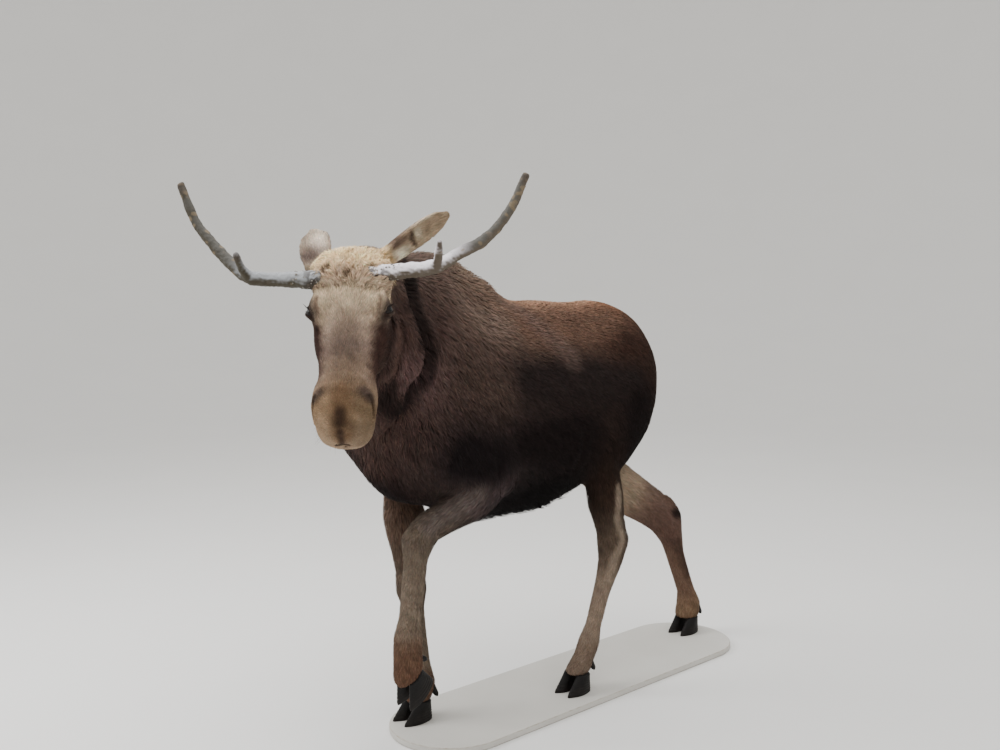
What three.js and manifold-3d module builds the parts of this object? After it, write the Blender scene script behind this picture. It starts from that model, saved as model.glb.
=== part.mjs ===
// A young bull moose, life size, walking. Its left foreleg is lifted, and its head is turned to its left.
// The solids give the outline of the animal out to the tips of its winter coat.
// Each body part is a field of rounded forms that flow into one another,
// and a tube of rings is wrapped onto that field.
//
// The frame is in millimetres, +Z up. The animal walks towards -Y, and its left side is towards +X.

import * as THREE from "three";
import { mergeVertices } from "three/addons/utils/BufferGeometryUtils.js";
import Module from "manifold-3d";

const wasm = await Module();
wasm.setup();

// ---------------------------------------------------------------- driving dimensions

const GAP = 0.4; // left between two solids that meet
const BASE_HEIGHT = 24; // the museum base under the hooves
const BASE_LENGTH = 1880;
const BASE_WIDTH = 480;
const BASE_EASE = 4; // the rounding of its edges
const BASE_AHEAD = 150; // its middle, ahead of the hips
const HIP_HEIGHT = 1320; // hooves to the hip joints
const TRUNK_DEPTH = 790; // from the back to the hair under the belly
const TRUNK_WIDTH = 540;
const HEAD_LENGTH = 605; // from the poll to the nose
const EYE_RADIUS = 22;
const EYE_AT = [211, 116, -56]; // in the head's frame
const HEAD_YAW = 45.5; // degrees, to the animal's left
const HEAD_PITCH = 30; // degrees that the face leans from upright, nose forward
const HEAD_ROLL = 1.5; // degrees, the left side up
const ANTLER_THICK = 23; // radius of an antler at its base
const EAR_WIDTH = 112;

// ---------------------------------------------------------------- places

const rad = THREE.MathUtils.degToRad;
const lerp = THREE.MathUtils.lerp;

/** A point given as the distance ahead of the hips, to the animal's left, and up. */
const at = (ahead, left, up) => new THREE.Vector3(left, -ahead, up);

/** A turned frame with its own origin: `put` carries a local (x, y, z) to the body's frame. */
class Frame {
  constructor(origin, x, y, z) {
    this.matrix = new THREE.Matrix4().makeBasis(x, y, z).setPosition(origin);
    this.inverse = this.matrix.clone().invert();
  }
  put(x, y, z) {
    return new THREE.Vector3(x, y, z).applyMatrix4(this.matrix);
  }
}

// The head's own frame: x from the poll down the face to the nose, y to its left, z out of the face.
const UP = new THREE.Vector3(0, 0, 1);
const POLL = at(1555, 371, 1786);
const headAhead = at(Math.cos(rad(HEAD_YAW)), Math.sin(rad(HEAD_YAW)), 0);
const levelLeft = new THREE.Vector3().crossVectors(UP, headAhead);
const headLeft = levelLeft.clone().applyAxisAngle(headAhead, rad(HEAD_ROLL));
const headUp = new THREE.Vector3().crossVectors(headAhead, headLeft);
const headDown = headAhead
  .clone()
  .multiplyScalar(Math.sin(rad(HEAD_PITCH)))
  .addScaledVector(headUp, -Math.cos(rad(HEAD_PITCH)));
const faceOut = new THREE.Vector3().crossVectors(headDown, headLeft);
const HEAD = new Frame(POLL, headDown, headLeft, faceOut);
const inHead = (x, y, z) => HEAD.put(x, y, z);
// A level frame at the crown, for the ears and antlers: x where the nose points, y to the left, z up.
const CROWN = new Frame(at(1560, 366, 1770), headAhead, levelLeft, UP);
const onCrown = (x, y, z) => CROWN.put(x, y, z);

// ---------------------------------------------------------------- fields

const point = new THREE.Vector3();

/** An ellipsoid with its radii along the axes of `frame`, or along ahead, left and up. */
function ball(centre, [rx, ry, rz], frame = BODY) {
  const inverse = new THREE.Matrix4().extractRotation(frame.matrix).invert();
  return (p) => {
    const q = point.copy(p).sub(centre).applyMatrix4(inverse);
    const k0 = Math.hypot(q.x / rx, q.y / ry, q.z / rz);
    const k1 = Math.hypot(q.x / rx ** 2, q.y / ry ** 2, q.z / rz ** 2);
    return k1 < 1e-9 ? -Math.min(rx, ry, rz) : (k0 * (k0 - 1)) / k1;
  };
}

/** A cone with round ends from a to b. `flat` below 1 makes it thinner along `side` by that share. */
function limb(a, ra, b, rb, flat = 1, side = new THREE.Vector3(1, 0, 0)) {
  const ba = b.clone().sub(a);
  const squeeze = (v) => v.addScaledVector(side, v.dot(side) * (1 / flat - 1));
  squeeze(ba);
  const l2 = ba.lengthSq();
  const rr = ra - rb;
  const a2 = l2 - rr * rr;
  const il2 = 1 / l2;
  const x = new THREE.Vector3();
  return (p) => {
    const pa = squeeze(point.copy(p).sub(a));
    const y = pa.dot(ba);
    const z = y - l2;
    const x2 = x.copy(pa).multiplyScalar(l2).addScaledVector(ba, -y).lengthSq();
    const y2 = y * y * l2;
    const z2 = z * z * l2;
    const k = Math.sign(rr) * rr * rr * x2;
    const scale = Math.min(1, flat);
    if (Math.sign(z) * a2 * z2 > k) return (Math.sqrt(x2 + z2) * il2 - rb) * scale;
    if (Math.sign(y) * a2 * y2 < k) return (Math.sqrt(x2 + y2) * il2 - ra) * scale;
    return ((Math.sqrt(x2 * a2 * il2) + y * rr) * il2 - ra) * scale;
  };
}

/** Joins forms so that each flows into the others over `soft` millimetres. */
function flow(soft, ...forms) {
  return (p) => {
    let d = Infinity;
    for (const form of forms) {
      const e = form(p);
      const h = Math.max(soft - Math.abs(d - e), 0) / soft;
      d = Math.min(d, e) - (h * h * soft) / 4;
    }
    return d;
  };
}

/** Keeps what lies behind a plane, and up to `over` millimetres past it. */
function clip(field, [origin, normal], over) {
  const n = normal.clone().normalize();
  const past = n.dot(origin) + over;
  return (p) => Math.max(field(p), n.dot(p) - past);
}

const BODY = new Frame(at(0, 0, 0), at(1, 0, 0), at(0, 1, 0), at(0, 0, 1));
/** The body's axes, tipped so that `ahead` points up by `pitch` degrees and left by `yaw` degrees. */
function tipped(pitch, yaw = 0) {
  const z = new THREE.Vector3(0, 0, 1);
  const flatAhead = at(Math.cos(rad(yaw)), Math.sin(rad(yaw)), 0);
  const left = new THREE.Vector3().crossVectors(z, flatAhead);
  const ahead = flatAhead.multiplyScalar(Math.cos(rad(pitch))).addScaledVector(z, Math.sin(rad(pitch)));
  return new Frame(at(0, 0, 0), ahead, left, new THREE.Vector3().crossVectors(ahead, left));
}
const both = (form) => [form(1), form(-1)];

// ---------------------------------------------------------------- wrapping

/** The distance from `from` along `way` at which `field` first reaches `level`. */
function reachOf(field, from, way, level, most) {
  const step = 8;
  const p = new THREE.Vector3();
  const value = (d) => field(p.copy(from).addScaledVector(way, d)) - level;
  let near = 0;
  let far = step;
  while (far < most && value(far) < 0) {
    near = far;
    far += step;
  }
  for (let i = 0; i < 12; i++) {
    const middle = (near + far) / 2;
    if (value(middle) < 0) near = middle;
    else far = middle;
  }
  return near;
}

/**
 * Wraps a closed tube of rings onto a field, along a spine inside it, and closes both ends
 * with rings that fan round. `sides` is the number of points in a ring, `spacing` the distance
 * between rings and `fan` the number of rings at each end.
 */
function wrap(field, { spine, sides, spacing, fan = 3, level = 0, most = 900, across = UP }) {
  const curve = new THREE.CatmullRomCurve3(spine, false, "centripetal");
  const count = Math.max(2, Math.round(curve.getLength() / spacing));
  const vertices = [];
  const rings = [];
  const addRing = (centre, tangent, lift) => {
    const u = across.clone().addScaledVector(tangent, -across.dot(tangent)).normalize();
    const v = new THREE.Vector3().crossVectors(tangent, u);
    const ring = [];
    for (let i = 0; i < sides; i++) {
      const turn = (2 * Math.PI * i) / sides;
      const way = u.clone().multiplyScalar(Math.cos(turn)).addScaledVector(v, Math.sin(turn));
      way.multiplyScalar(Math.cos(lift)).addScaledVector(tangent, Math.sin(lift));
      ring.push(vertices.length);
      vertices.push(centre.clone().addScaledVector(way, reachOf(field, centre, way, level, most)));
    }
    rings.push(ring);
  };
  const ends = [0, 1].map((t) => [curve.getPointAt(t), curve.getTangentAt(t)]);
  for (let j = fan; j > 0; j--) addRing(...ends[0], (-j * Math.PI) / 2 / (fan + 1));
  for (let i = 0; i <= count; i++) addRing(curve.getPointAt(i / count), curve.getTangentAt(i / count), 0);
  for (let j = 1; j <= fan; j++) addRing(...ends[1], (j * Math.PI) / 2 / (fan + 1));
  const faces = [];
  for (let r = 0; r + 1 < rings.length; r++) {
    for (let i = 0; i < sides; i++) {
      const k = (i + 1) % sides;
      const [a, b, c, d] = [rings[r][i], rings[r][k], rings[r + 1][k], rings[r + 1][i]];
      faces.push(a, b, c, a, c, d);
    }
  }
  ends.forEach(([centre, tangent], end) => {
    const way = tangent.clone().multiplyScalar(end ? 1 : -1);
    const pole = vertices.length;
    vertices.push(centre.clone().addScaledVector(way, reachOf(field, centre, way, level, most)));
    const ring = end ? rings.at(-1) : rings[0];
    for (let i = 0; i < sides; i++) {
      const k = (i + 1) % sides;
      if (end) faces.push(ring[i], ring[k], pole);
      else faces.push(ring[k], ring[i], pole);
    }
  });
  return geometryOf(vertices, faces);
}

function geometryOf(vertices, faces) {
  const g = new THREE.BufferGeometry();
  const numbers = vertices.flatMap((v) => [v.x, v.y, v.z]);
  g.setAttribute("position", new THREE.Float32BufferAttribute(numbers, 3));
  g.setIndex(faces);
  return g;
}

// ---------------------------------------------------------------- solids: only joins and cuts

function solidOf(geometry) {
  const g = geometry.clone();
  g.deleteAttribute("normal");
  g.deleteAttribute("uv");
  const merged = mergeVertices(g, 1e-3);
  return new wasm.Manifold(
    new wasm.Mesh({
      numProp: 3,
      vertProperties: new Float32Array(merged.attributes.position.array),
      triVerts: new Uint32Array(merged.index.array),
    }),
  );
}

function geometryFrom(solid) {
  const mesh = solid.getMesh();
  const g = new THREE.BufferGeometry();
  g.setAttribute("position", new THREE.BufferAttribute(new Float32Array(mesh.vertProperties), 3));
  g.setIndex(new THREE.BufferAttribute(new Uint32Array(mesh.triVerts), 1));
  return g;
}

const VAST = 6000;
/** The half of space behind a plane: what lies on the side that `normal` points away from. */
function behind(origin, normal, gap = GAP / 2) {
  const n = normal.clone().normalize();
  const box = new THREE.BoxGeometry(VAST, VAST, VAST);
  const turn = new THREE.Quaternion().setFromUnitVectors(new THREE.Vector3(0, 0, 1), n);
  box.applyQuaternion(turn);
  const centre = origin.clone().addScaledVector(n, -VAST / 2 - gap);
  box.translate(centre.x, centre.y, centre.z);
  return solidOf(box);
}
const inFrontOf = (origin, normal) => behind(origin, normal.clone().negate());

// ---------------------------------------------------------------- legs

/**
 * The joints of each leg from the top down, the hoof's middle on its sole and the way the toe points.
 * `slim` scales the cannon and foot, `gaskin` the shank above the hock, and `calf` and
 * `heel` say how far its hamstring and the point of the hock stand back.
 */
const LEGS = {
  front_left: {
    cut: 0.36,
    slim: 1,
    side: 1,
    joints: [at(1120, 165, 1130), at(800, 195, 950), at(1130, 150, 790), at(1160, 122, 395)],
    hoof: at(1113, 118, 222),
    toe: at(0.766, 0, -0.643),
  },
  front_right: {
    cut: 0.3,
    slim: 0.9,
    side: -1,
    joints: [at(1150, -165, 1150), at(955, -168, 910), at(940, -132, 500), at(902, -115, 152)],
    hoof: at(945, -113, 0),
    toe: at(1, 0, 0),
  },
  hind_left: {
    cut: 0.25,
    slim: 0.82,
    side: 1,
    joints: [at(20, 115, 1300), at(215, 165, 975), at(86, 132, 560), at(212, 114, 165)],
    calf: 45,
    gaskin: 1,
    heel: 56,
    hoof: at(290, 112, 0),
    toe: at(1, 0, 0),
  },
  hind_right: {
    cut: 0.25,
    slim: 1,
    side: -1,
    joints: [at(0, -115, 1290), at(-125, -150, 850), at(-545, -72, 522), at(-686, -46, 150)],
    calf: 42,
    gaskin: 1.2,
    heel: 96,
    hoof: at(-655, -44, 0),
    toe: at(1, 0, 0),
  },
};

const between = (a, b, t) => a.clone().lerp(b, t);
const LEFT = at(0, 1, 0);

/** A foot's frame: x where the toe points, y to the left, z up out of the hoof. */
function footOf({ hoof, toe }) {
  const ahead = toe.clone().normalize();
  return new Frame(hoof, ahead, LEFT, new THREE.Vector3().crossVectors(ahead, LEFT));
}

/** The fetlock and pastern, down to the hoof. */
function footForms(fetlock, foot, slim) {
  return [
    ball(fetlock, [50 * slim, 49 * slim, 54]),
    limb(fetlock, 45 * slim, foot.put(-22, 0, 86), 46 * slim),
    limb(foot.put(-22, 0, 86), 46 * slim, foot.put(-4, 0, 62), 50 * slim),
  ];
}

function foreLeg(leg) {
  const [shoulder, elbow, knee, fetlock] = leg.joints;
  const foot = footOf(leg);
  return {
    upper: [limb(shoulder, 105, between(elbow, shoulder, 0.1), 94, 0.8, LEFT)],
    field: flow(
      30,
      limb(elbow, 82, between(elbow, knee, 0.35), 82, 0.8, LEFT), // forearm
      limb(between(elbow, knee, 0.3), 83, knee, 48, 0.88, LEFT),
      ball(knee, [54, 51, 66]),
      limb(knee, 44 * leg.slim, fetlock, 38 * leg.slim, 0.95, LEFT), // cannon
      ...footForms(fetlock, foot, leg.slim),
    ),
    spine: [
      between(elbow, knee, -0.05),
      between(elbow, knee, 0.4),
      knee,
      between(knee, fetlock, 0.5),
      fetlock,
      foot.put(-15, 0, 75),
    ],
    foot,
  };
}

function hindLeg(leg) {
  const [hip, stifle, hock, fetlock] = leg.joints;
  const foot = footOf(leg);
  const shank = hock.clone().sub(stifle).normalize();
  const cannon = fetlock.clone().sub(hock).normalize();
  const behindHock = shank.clone().sub(cannon).normalize();
  const point = hock.clone().addScaledVector(behindHock, leg.heel).addScaledVector(cannon, -40);
  return {
    upper: [limb(hip, 150, between(stifle, hip, 0.1), 108, 0.72, LEFT)],
    field: flow(
      30,
      limb(stifle, 96 * leg.gaskin, between(stifle, hock, 0.5), 72 * leg.gaskin, 0.72, LEFT),
      limb(between(stifle, hock, 0.45), 74 * leg.gaskin, hock, 50, 0.85, LEFT),
      limb(between(stifle, hock, 0.2).addScaledVector(behindHock, leg.calf), 50, point, 26), // hamstring
      limb(point, 27, between(hock, fetlock, 0.25).addScaledVector(behindHock, 14), 34), // heel
      ball(hock, [58, 48, 66], tipped(-35)),
      limb(hock, 47 * leg.slim, fetlock, 40 * leg.slim, 0.9, LEFT), // cannon
      ...footForms(fetlock, foot, leg.slim),
    ),
    spine: [
      between(stifle, hip, 0.15),
      stifle,
      between(stifle, hock, 0.5),
      hock,
      between(hock, fetlock, 0.5),
      fetlock,
      foot.put(-15, 0, 75),
    ],
    foot,
  };
}

const legs = Object.fromEntries(
  Object.entries(LEGS).map(([name, leg]) => [name, (name.startsWith("front") ? foreLeg : hindLeg)(leg)]),
);

// ---------------------------------------------------------------- trunk and neck

const trunk = flow(
  70,
  ball(at(780, 0, 1205), [420, TRUNK_WIDTH / 2, TRUNK_DEPTH / 2]), // ribs
  ball(at(430, 0, 1185), [440, TRUNK_WIDTH / 2, TRUNK_DEPTH / 2]), // belly
  limb(at(430, 0, 865), 95, at(800, 0, 850), 90), // long hair under the belly
  ball(at(75, 0, HIP_HEIGHT + 50), [265, 205, 215], tipped(-4)), // croup
  limb(at(640, 0, 1480), 112, at(120, 0, 1470), 112), // loin
  ball(at(900, 0, 1520), [300, 105, 235], tipped(8)), // hump
  ball(at(1060, 0, 1100), [190, 165, 225]), // breast
  ...both((s) => ball(at(960, s * 150, 1330), [175, 105, 330], tipped(-24))), // shoulder blade
  ball(at(60, 140, 1180), [200, 105, 240], tipped(18)), // left thigh, drawn forward
  ball(at(170, 150, 1040), [140, 95, 170], tipped(20)),
  ball(at(-25, -140, 1180), [190, 105, 260], tipped(-12)), // right thigh, stretched back
  ...Object.values(legs).flatMap((leg) => leg.upper),
);

const neckLeft = tipped(20, 28).put(0, 1, 0).sub(at(0, 0, 0));
const neck = flow(
  60,
  limb(at(960, 0, 1610), 150, at(1470, 290, 1675), 100, 0.8, neckLeft), // crest
  limb(at(1000, 10, 1420), 215, at(1450, 270, 1530), 135, 0.85, neckLeft), // middle
  limb(at(1060, 20, 1230), 195, at(1420, 245, 1420), 120, 0.8, neckLeft), // throat
);
const body = flow(90, trunk, neck);

// ---------------------------------------------------------------- head

const headBall = (x, y, z, radii) => ball(inHead(x, y, z), radii, HEAD);
const headLimb = (a, ra, b, rb, flat = 1) => limb(inHead(...a), ra, inHead(...b), rb, flat, headLeft);
const [eyeX, eyeY, eyeZ] = EYE_AT;
const headForms = flow(
  30,
  headBall(120, 0, -100, [120, 110, 95]), // braincase
  headBall(72, 0, -48, [72, 116, 52]), // woolly crown
  headBall(112, 0, -40, [38, 118, 44]), // the roll of wool over the forehead
  headLimb([180, 0, -66], 64, [440, 0, -66], 56, 1.05), // bridge of the nose
  ...both((s) => headBall(eyeX - 14, s * 90, -50, [48, 34, 36])), // brow
  ...both((s) => headLimb([eyeX + 40, s * 60, -88], 38, [425, s * 43, -82], 37)), // cheekbone
  ...both((s) => headBall(255, s * 64, -142, [112, 52, 82])), // cheek
  headLimb([180, 0, -192], 64, [545, 0, -126], 38), // lower jaw
  headBall(500, 0, -72, [108, 84, 72]), // muzzle
  ...both((s) => headBall(492, s * 58, -56, [54, 30, 42])), // nostril
  ...both((s) => headBall(HEAD_LENGTH - 50, s * 34, -94, [52, 42, 52])), // upper lip
  ...both((s) => headBall(HEAD_LENGTH - 42, s * 43, -99, [40, 25, 34])), // corner of the lip
  headBall(HEAD_LENGTH - 36, 0, -136, [40, 54, 30]), // chin
);
const whole = flow(60, body, headForms);

// ---------------------------------------------------------------- ears, antlers, hooves

/** A cupped, leaf-shaped ear from its root to its tip, open towards `facing`. */
function ear(rootPoint, tip, facing, length) {
  const stations = 7;
  const arc = 5;
  const axis = tip.clone().sub(rootPoint).normalize();
  const out = facing.clone().addScaledVector(axis, -facing.dot(axis)).normalize();
  const across = new THREE.Vector3().crossVectors(axis, out);
  const rings = [];
  for (let k = 0; k <= stations; k++) {
    const t = k / stations;
    const widest = 0.62;
    const swell = lerp(0.5, 1, Math.sin((Math.PI * t) / 2 / widest));
    const share = t < widest ? swell : Math.sqrt(1 - ((t - widest) / 0.39) ** 2);
    const width = (EAR_WIDTH / 2) * share;
    const cup = lerp(46, 15, t ** 0.7) * Math.min(1, 6 * (1.05 - t));
    const thick = lerp(16, 7, t);
    const middle = rootPoint.clone().addScaledVector(axis, length * t).addScaledVector(out, 16 * t * t);
    const inner = Math.max(width - thick * 0.6, 2);
    const floor = Math.max(cup - thick, 1 - thick);
    const place = (i, wide, deep, lift) => {
      const turn = Math.PI * (i / arc - 0.5);
      const p = middle.clone().addScaledVector(across, wide * Math.sin(turn));
      return p.addScaledVector(out, lift - deep * Math.cos(turn));
    };
    const ring = [];
    for (let i = 0; i <= arc; i++) ring.push(place(i, inner, floor, 3));
    for (let i = arc; i >= 0; i--) ring.push(place(i, width, cup, 0));
    rings.push(ring);
  }
  return loft(rings);
}

/** A round rod along a curve, its radius given as a function of the share of the way along. */
function rod(points, radiusAt, sides, pieces) {
  const curve = new THREE.CatmullRomCurve3(points, false, "centripetal");
  const rings = [];
  for (let k = 0; k <= pieces; k++) {
    const t = k / pieces;
    const centre = curve.getPointAt(t);
    const tangent = curve.getTangentAt(t);
    const u = headAhead.clone().addScaledVector(tangent, -headAhead.dot(tangent)).normalize();
    const v = new THREE.Vector3().crossVectors(tangent, u);
    const r = radiusAt(t);
    rings.push(
      Array.from({ length: sides }, (_, i) => {
        const turn = (2 * Math.PI * i) / sides;
        return centre
          .clone()
          .addScaledVector(u, r * Math.cos(turn))
          .addScaledVector(v, r * Math.sin(turn));
      }),
    );
  }
  return loft(rings);
}

/** One toe of a hoof in a foot's frame: a flat sole, a sloping front wall and a soft heel. */
function toe(foot, side) {
  const sides = 10;
  const sections = [
    { up: 0, from: -60, to: 74, wide: 27 },
    { up: 7, from: -62, to: 76, wide: 28 },
    { up: 78, from: -54, to: 14, wide: 25 },
  ];
  const rings = sections.map(({ up, from, to, wide }) =>
    Array.from({ length: sides }, (_, i) => {
      const turn = (2 * Math.PI * i) / sides;
      const c = Math.cos(turn);
      const sn = Math.sin(turn);
      const narrow = 1 - 0.5 * Math.max(0, c) ** 2;
      const splay = 28 + 4 * (c + 1);
      const y = Math.max(wide * narrow * sn, -0.8 * wide) + splay;
      return foot.put((from + to) / 2 + ((to - from) / 2) * c, side * y, up);
    }),
  );
  return loft(side > 0 ? rings : rings.map((ring) => ring.slice().reverse()));
}

/** A dew claw behind the pastern. */
function dewclaw(foot, side) {
  const a = foot.put(-66, side * 24, 120);
  const b = foot.put(-92, side * 29, 76);
  return rod([a, b], (t) => lerp(16, 9, t), 6, 1);
}

/** Closes a stack of rings, each ring with the same number of points, with a fan at either end. */
function loft(rings) {
  const vertices = rings.flat();
  const sides = rings[0].length;
  const faces = [];
  for (let r = 0; r + 1 < rings.length; r++) {
    for (let i = 0; i < sides; i++) {
      const k = (i + 1) % sides;
      const [a, b, c, d] = [r * sides + i, r * sides + k, (r + 1) * sides + k, (r + 1) * sides + i];
      faces.push(a, b, c, a, c, d);
    }
  }
  for (const ring of [rings[0], rings.at(-1)]) {
    const first = ring === rings[0] ? 0 : (rings.length - 1) * sides;
    const pole = vertices.length;
    vertices.push(ring.reduce((sum, v) => sum.add(v), new THREE.Vector3()).divideScalar(sides));
    for (let i = 0; i < sides; i++) {
      const k = (i + 1) % sides;
      if (first) faces.push(first + i, first + k, pole);
      else faces.push(k, i, pole);
    }
  }
  return geometryOf(vertices, faces);
}

// ---------------------------------------------------------------- assembly

const root = new THREE.Group();
const FINISHES = {
  coat: ["#3a2a22", 0.95],
  mane: ["#4a382c", 0.95],
  face: ["#86705a", 0.9],
  shank: ["#7d7163", 0.9],
  antler: ["#8f8d88", 0.6],
  eye: ["#1c120c", 0.15],
  horn: ["#211d1b", 0.5],
  base: ["#c9c4bb", 0.6],
};

function add(name, shape, finish) {
  const geometry = shape.isBufferGeometry ? shape : geometryFrom(shape);
  const [color, roughness] = FINISHES[finish];
  const material = new THREE.MeshStandardMaterial({ color, roughness, metalness: 0 });
  const mesh = new THREE.Mesh(geometry, material);
  mesh.name = name;
  root.add(mesh);
}

// The thin cuts between trunk and neck and between neck and head.
const neckRoot = [at(1120, 50, 1410), at(0.8, 0.3, 0.35)];
const neckTop = [inHead(60, 0, -190), inHead(0.3, 0, 0.95).sub(POLL)];
const turned = ([origin, normal]) => [origin, normal.clone().negate()];

const bodyTube = {
  spine: [at(20, 0, 1320), at(300, 0, 1215), at(700, 0, 1215), at(1020, 0, 1240)],
  sides: 32,
  spacing: 66,
  fan: 5,
};
const neckTube = {
  spine: [
    at(1055, 15, 1390),
    at(1160, 62, 1435),
    at(1290, 150, 1495),
    at(1400, 235, 1545),
    at(1455, 280, 1575),
  ],
  sides: 28,
  spacing: 64,
  fan: 2,
};
const headTube = {
  spine: [inHead(70, 0, -120), inHead(200, 0, -112), inHead(400, 0, -88), inHead(555, 0, -88)],
  sides: 28,
  spacing: 26,
  fan: 4,
  across: faceOut,
};
const trunkForm = clip(whole, neckRoot, 120);
const neckForm = clip(clip(whole, turned(neckRoot), 120), neckTop, 70);
const headForm = clip(whole, turned(neckTop), 60);
/** A wrapped solid, and the same solid grown by the gap, for cutting its neighbours. */
const wrapped = (field, tube) => [0, GAP].map((level) => solidOf(wrap(field, { ...tube, level })));
const [torso, torsoAndGap] = wrapped(trunkForm, bodyTube);
const [throat, throatAndGap] = wrapped(neckForm, neckTube);
const [skull, skullAndGap] = wrapped(headForm, headTube);

// Each leg starts at a cut across the forearm or the thigh; above the cut it belongs to the trunk.
let trunkSolid = torso.intersect(behind(...neckRoot));
for (const [name, leg] of Object.entries(legs)) {
  const [, top, middle, fetlock] = LEGS[name].joints;
  const legTube = { spine: leg.spine, sides: 13, spacing: 70, fan: 2, across: LEFT, most: 200 };
  const [tube, tubeAndGap] = wrapped(leg.field, legTube);
  const hairline = [leg.foot.put(0, 0, 78), leg.foot.put(0, 0, -1).sub(leg.foot.put(0, 0, 0))];
  const cutAt = [between(top, middle, LEGS[name].cut), middle.clone().sub(top)];
  const splitAt = [middle, fetlock.clone().sub(top)];
  const free = tube.intersect(inFrontOf(...cutAt)).subtract(torsoAndGap);
  const lower = free.intersect(inFrontOf(...splitAt)).intersect(behind(...hairline, GAP));
  add(`leg_${name}_upper`, free.intersect(behind(...splitAt)), "shank");
  add(`leg_${name}_lower`, lower, "shank");
  trunkSolid = trunkSolid.add(tube.intersect(behind(...cutAt)));
  for (const [toeName, side] of [["inner", -LEGS[name].side], ["outer", LEGS[name].side]]) {
    const claw = solidOf(dewclaw(leg.foot, side));
    add(`hoof_${name}_${toeName}`, toe(leg.foot, side), "horn");
    add(`dewclaw_${name}_${toeName}`, claw.subtract(tubeAndGap), "horn");
  }
}
add("trunk", trunkSolid, "coat");
add("neck", throat.intersect(inFrontOf(...neckRoot)).intersect(behind(...neckTop)), "mane");

let headSolid = skull.intersect(inFrontOf(...neckTop));
for (const [name, s] of [["left", 1], ["right", -1]]) {
  const centre = inHead(eyeX, s * (eyeY - 12), eyeZ);
  const eyeball = (r) => new THREE.SphereGeometry(r, 12, 7).translate(centre.x, centre.y, centre.z);
  headSolid = headSolid.subtract(solidOf(eyeball(EYE_RADIUS + GAP)));
  add(`eye_${name}`, eyeball(EYE_RADIUS), "eye");
}
add("head", headSolid, "face");

const EARS = {
  right: [onCrown(-30, -98, -70), onCrown(-200, -138, 48), onCrown(0.5, -0.25, 0.85)],
  left: [onCrown(-32, 96, -56), onCrown(-82, 286, 110), onCrown(0.5, 0.4, -0.75)],
};
for (const [name, [earRoot, tip, opening]] of Object.entries(EARS)) {
  const leaf = solidOf(ear(earRoot, tip, opening.sub(onCrown(0, 0, 0)), earRoot.distanceTo(tip)));
  add(`ear_${name}`, leaf.subtract(skullAndGap).subtract(throatAndGap), "face");
}

const ANTLERS = {
  right: {
    fork: onCrown(20, -289, -95),
    base: [onCrown(35, -70, -98), onCrown(28, -130, -100), onCrown(15, -203, -99)],
    beam: [
      onCrown(0, -353, -50),
      onCrown(-15, -410, 8),
      onCrown(-20, -459, 70),
      onCrown(-10, -501, 186),
    ],
    tine: [onCrown(62, -303, -66), onCrown(92, -311, -24)],
  },
  left: {
    fork: onCrown(20, 264, -61),
    base: [onCrown(35, 70, -84), onCrown(28, 125, -80), onCrown(15, 184, -72)],
    beam: [
      onCrown(0, 334, -20),
      onCrown(-15, 393, 10),
      onCrown(-20, 443, 55),
      onCrown(-20, 489, 119),
      onCrown(-10, 529, 212),
    ],
    tine: [onCrown(60, 275, -28), onCrown(92, 281, 11)],
  },
};
for (const [name, { fork, base, beam, tine }] of Object.entries(ANTLERS)) {
  const way = beam[0].clone().sub(base[2]);
  const stemRadius = (t) => ANTLER_THICK * (0.86 + 0.34 * (1 - t) ** 3);
  const sweepRadius = (t) => ANTLER_THICK * lerp(0.9, 0.44, t);
  const spikeRadius = (t) => ANTLER_THICK * lerp(0.62, 0.34, t);
  const stem = (extra) => solidOf(rod([...base, fork, beam[0]], (t) => stemRadius(t) + extra, 8, 7));
  const sweep = (extra) => solidOf(rod([base[2], fork, ...beam], (t) => sweepRadius(t) + extra, 8, 12));
  const spike = solidOf(rod([fork, ...tine], spikeRadius, 7, 4));
  add(`antler_${name}_base`, stem(0).subtract(skullAndGap).intersect(behind(fork, way)), "antler");
  add(`antler_${name}_beam`, sweep(0).intersect(inFrontOf(fork, way)), "antler");
  add(`antler_${name}_tine`, spike.subtract(stem(GAP)).subtract(sweep(GAP)), "antler");
}

const tailSpine = [at(-150, 0, 1475), at(-198, 0, 1405), at(-222, 0, 1335)];
const [dockTop, dockMiddle, dockTip] = tailSpine;
const tailForm = flow(20, limb(dockTop, 30, dockMiddle, 26), limb(dockMiddle, 26, dockTip, 17));
const tailTube = { spine: tailSpine, sides: 8, spacing: 40, fan: 1, across: LEFT, most: 90 };
add("tail", solidOf(wrap(tailForm, tailTube)).subtract(torsoAndGap), "coat");

/** The museum base: a plate with round ends and eased edges under the standing hooves. */
function basePlate() {
  const half = BASE_WIDTH / 2 - BASE_EASE;
  const reach = BASE_LENGTH / 2 - BASE_EASE - half;
  const outline = new THREE.Shape()
    .moveTo(half, -reach)
    .lineTo(half, reach)
    .absarc(0, reach, half, 0, Math.PI)
    .lineTo(-half, -reach)
    .absarc(0, -reach, half, Math.PI, 2 * Math.PI);
  const plate = new THREE.ExtrudeGeometry(outline, {
    depth: BASE_HEIGHT - 2 * BASE_EASE,
    bevelThickness: BASE_EASE,
    bevelSize: BASE_EASE,
    bevelSegments: 1,
    curveSegments: 8,
  });
  return plate.translate(0, -BASE_AHEAD, -BASE_HEIGHT + BASE_EASE - GAP);
}
add("stand_base", basePlate(), "base");

// The part's origin is on the floor, under the middle of its box.
const extent = new THREE.Box3().setFromObject(root);
const middle = extent.getCenter(new THREE.Vector3());
root.position.set(-middle.x, -middle.y, -extent.min.z);
export default root;
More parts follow.
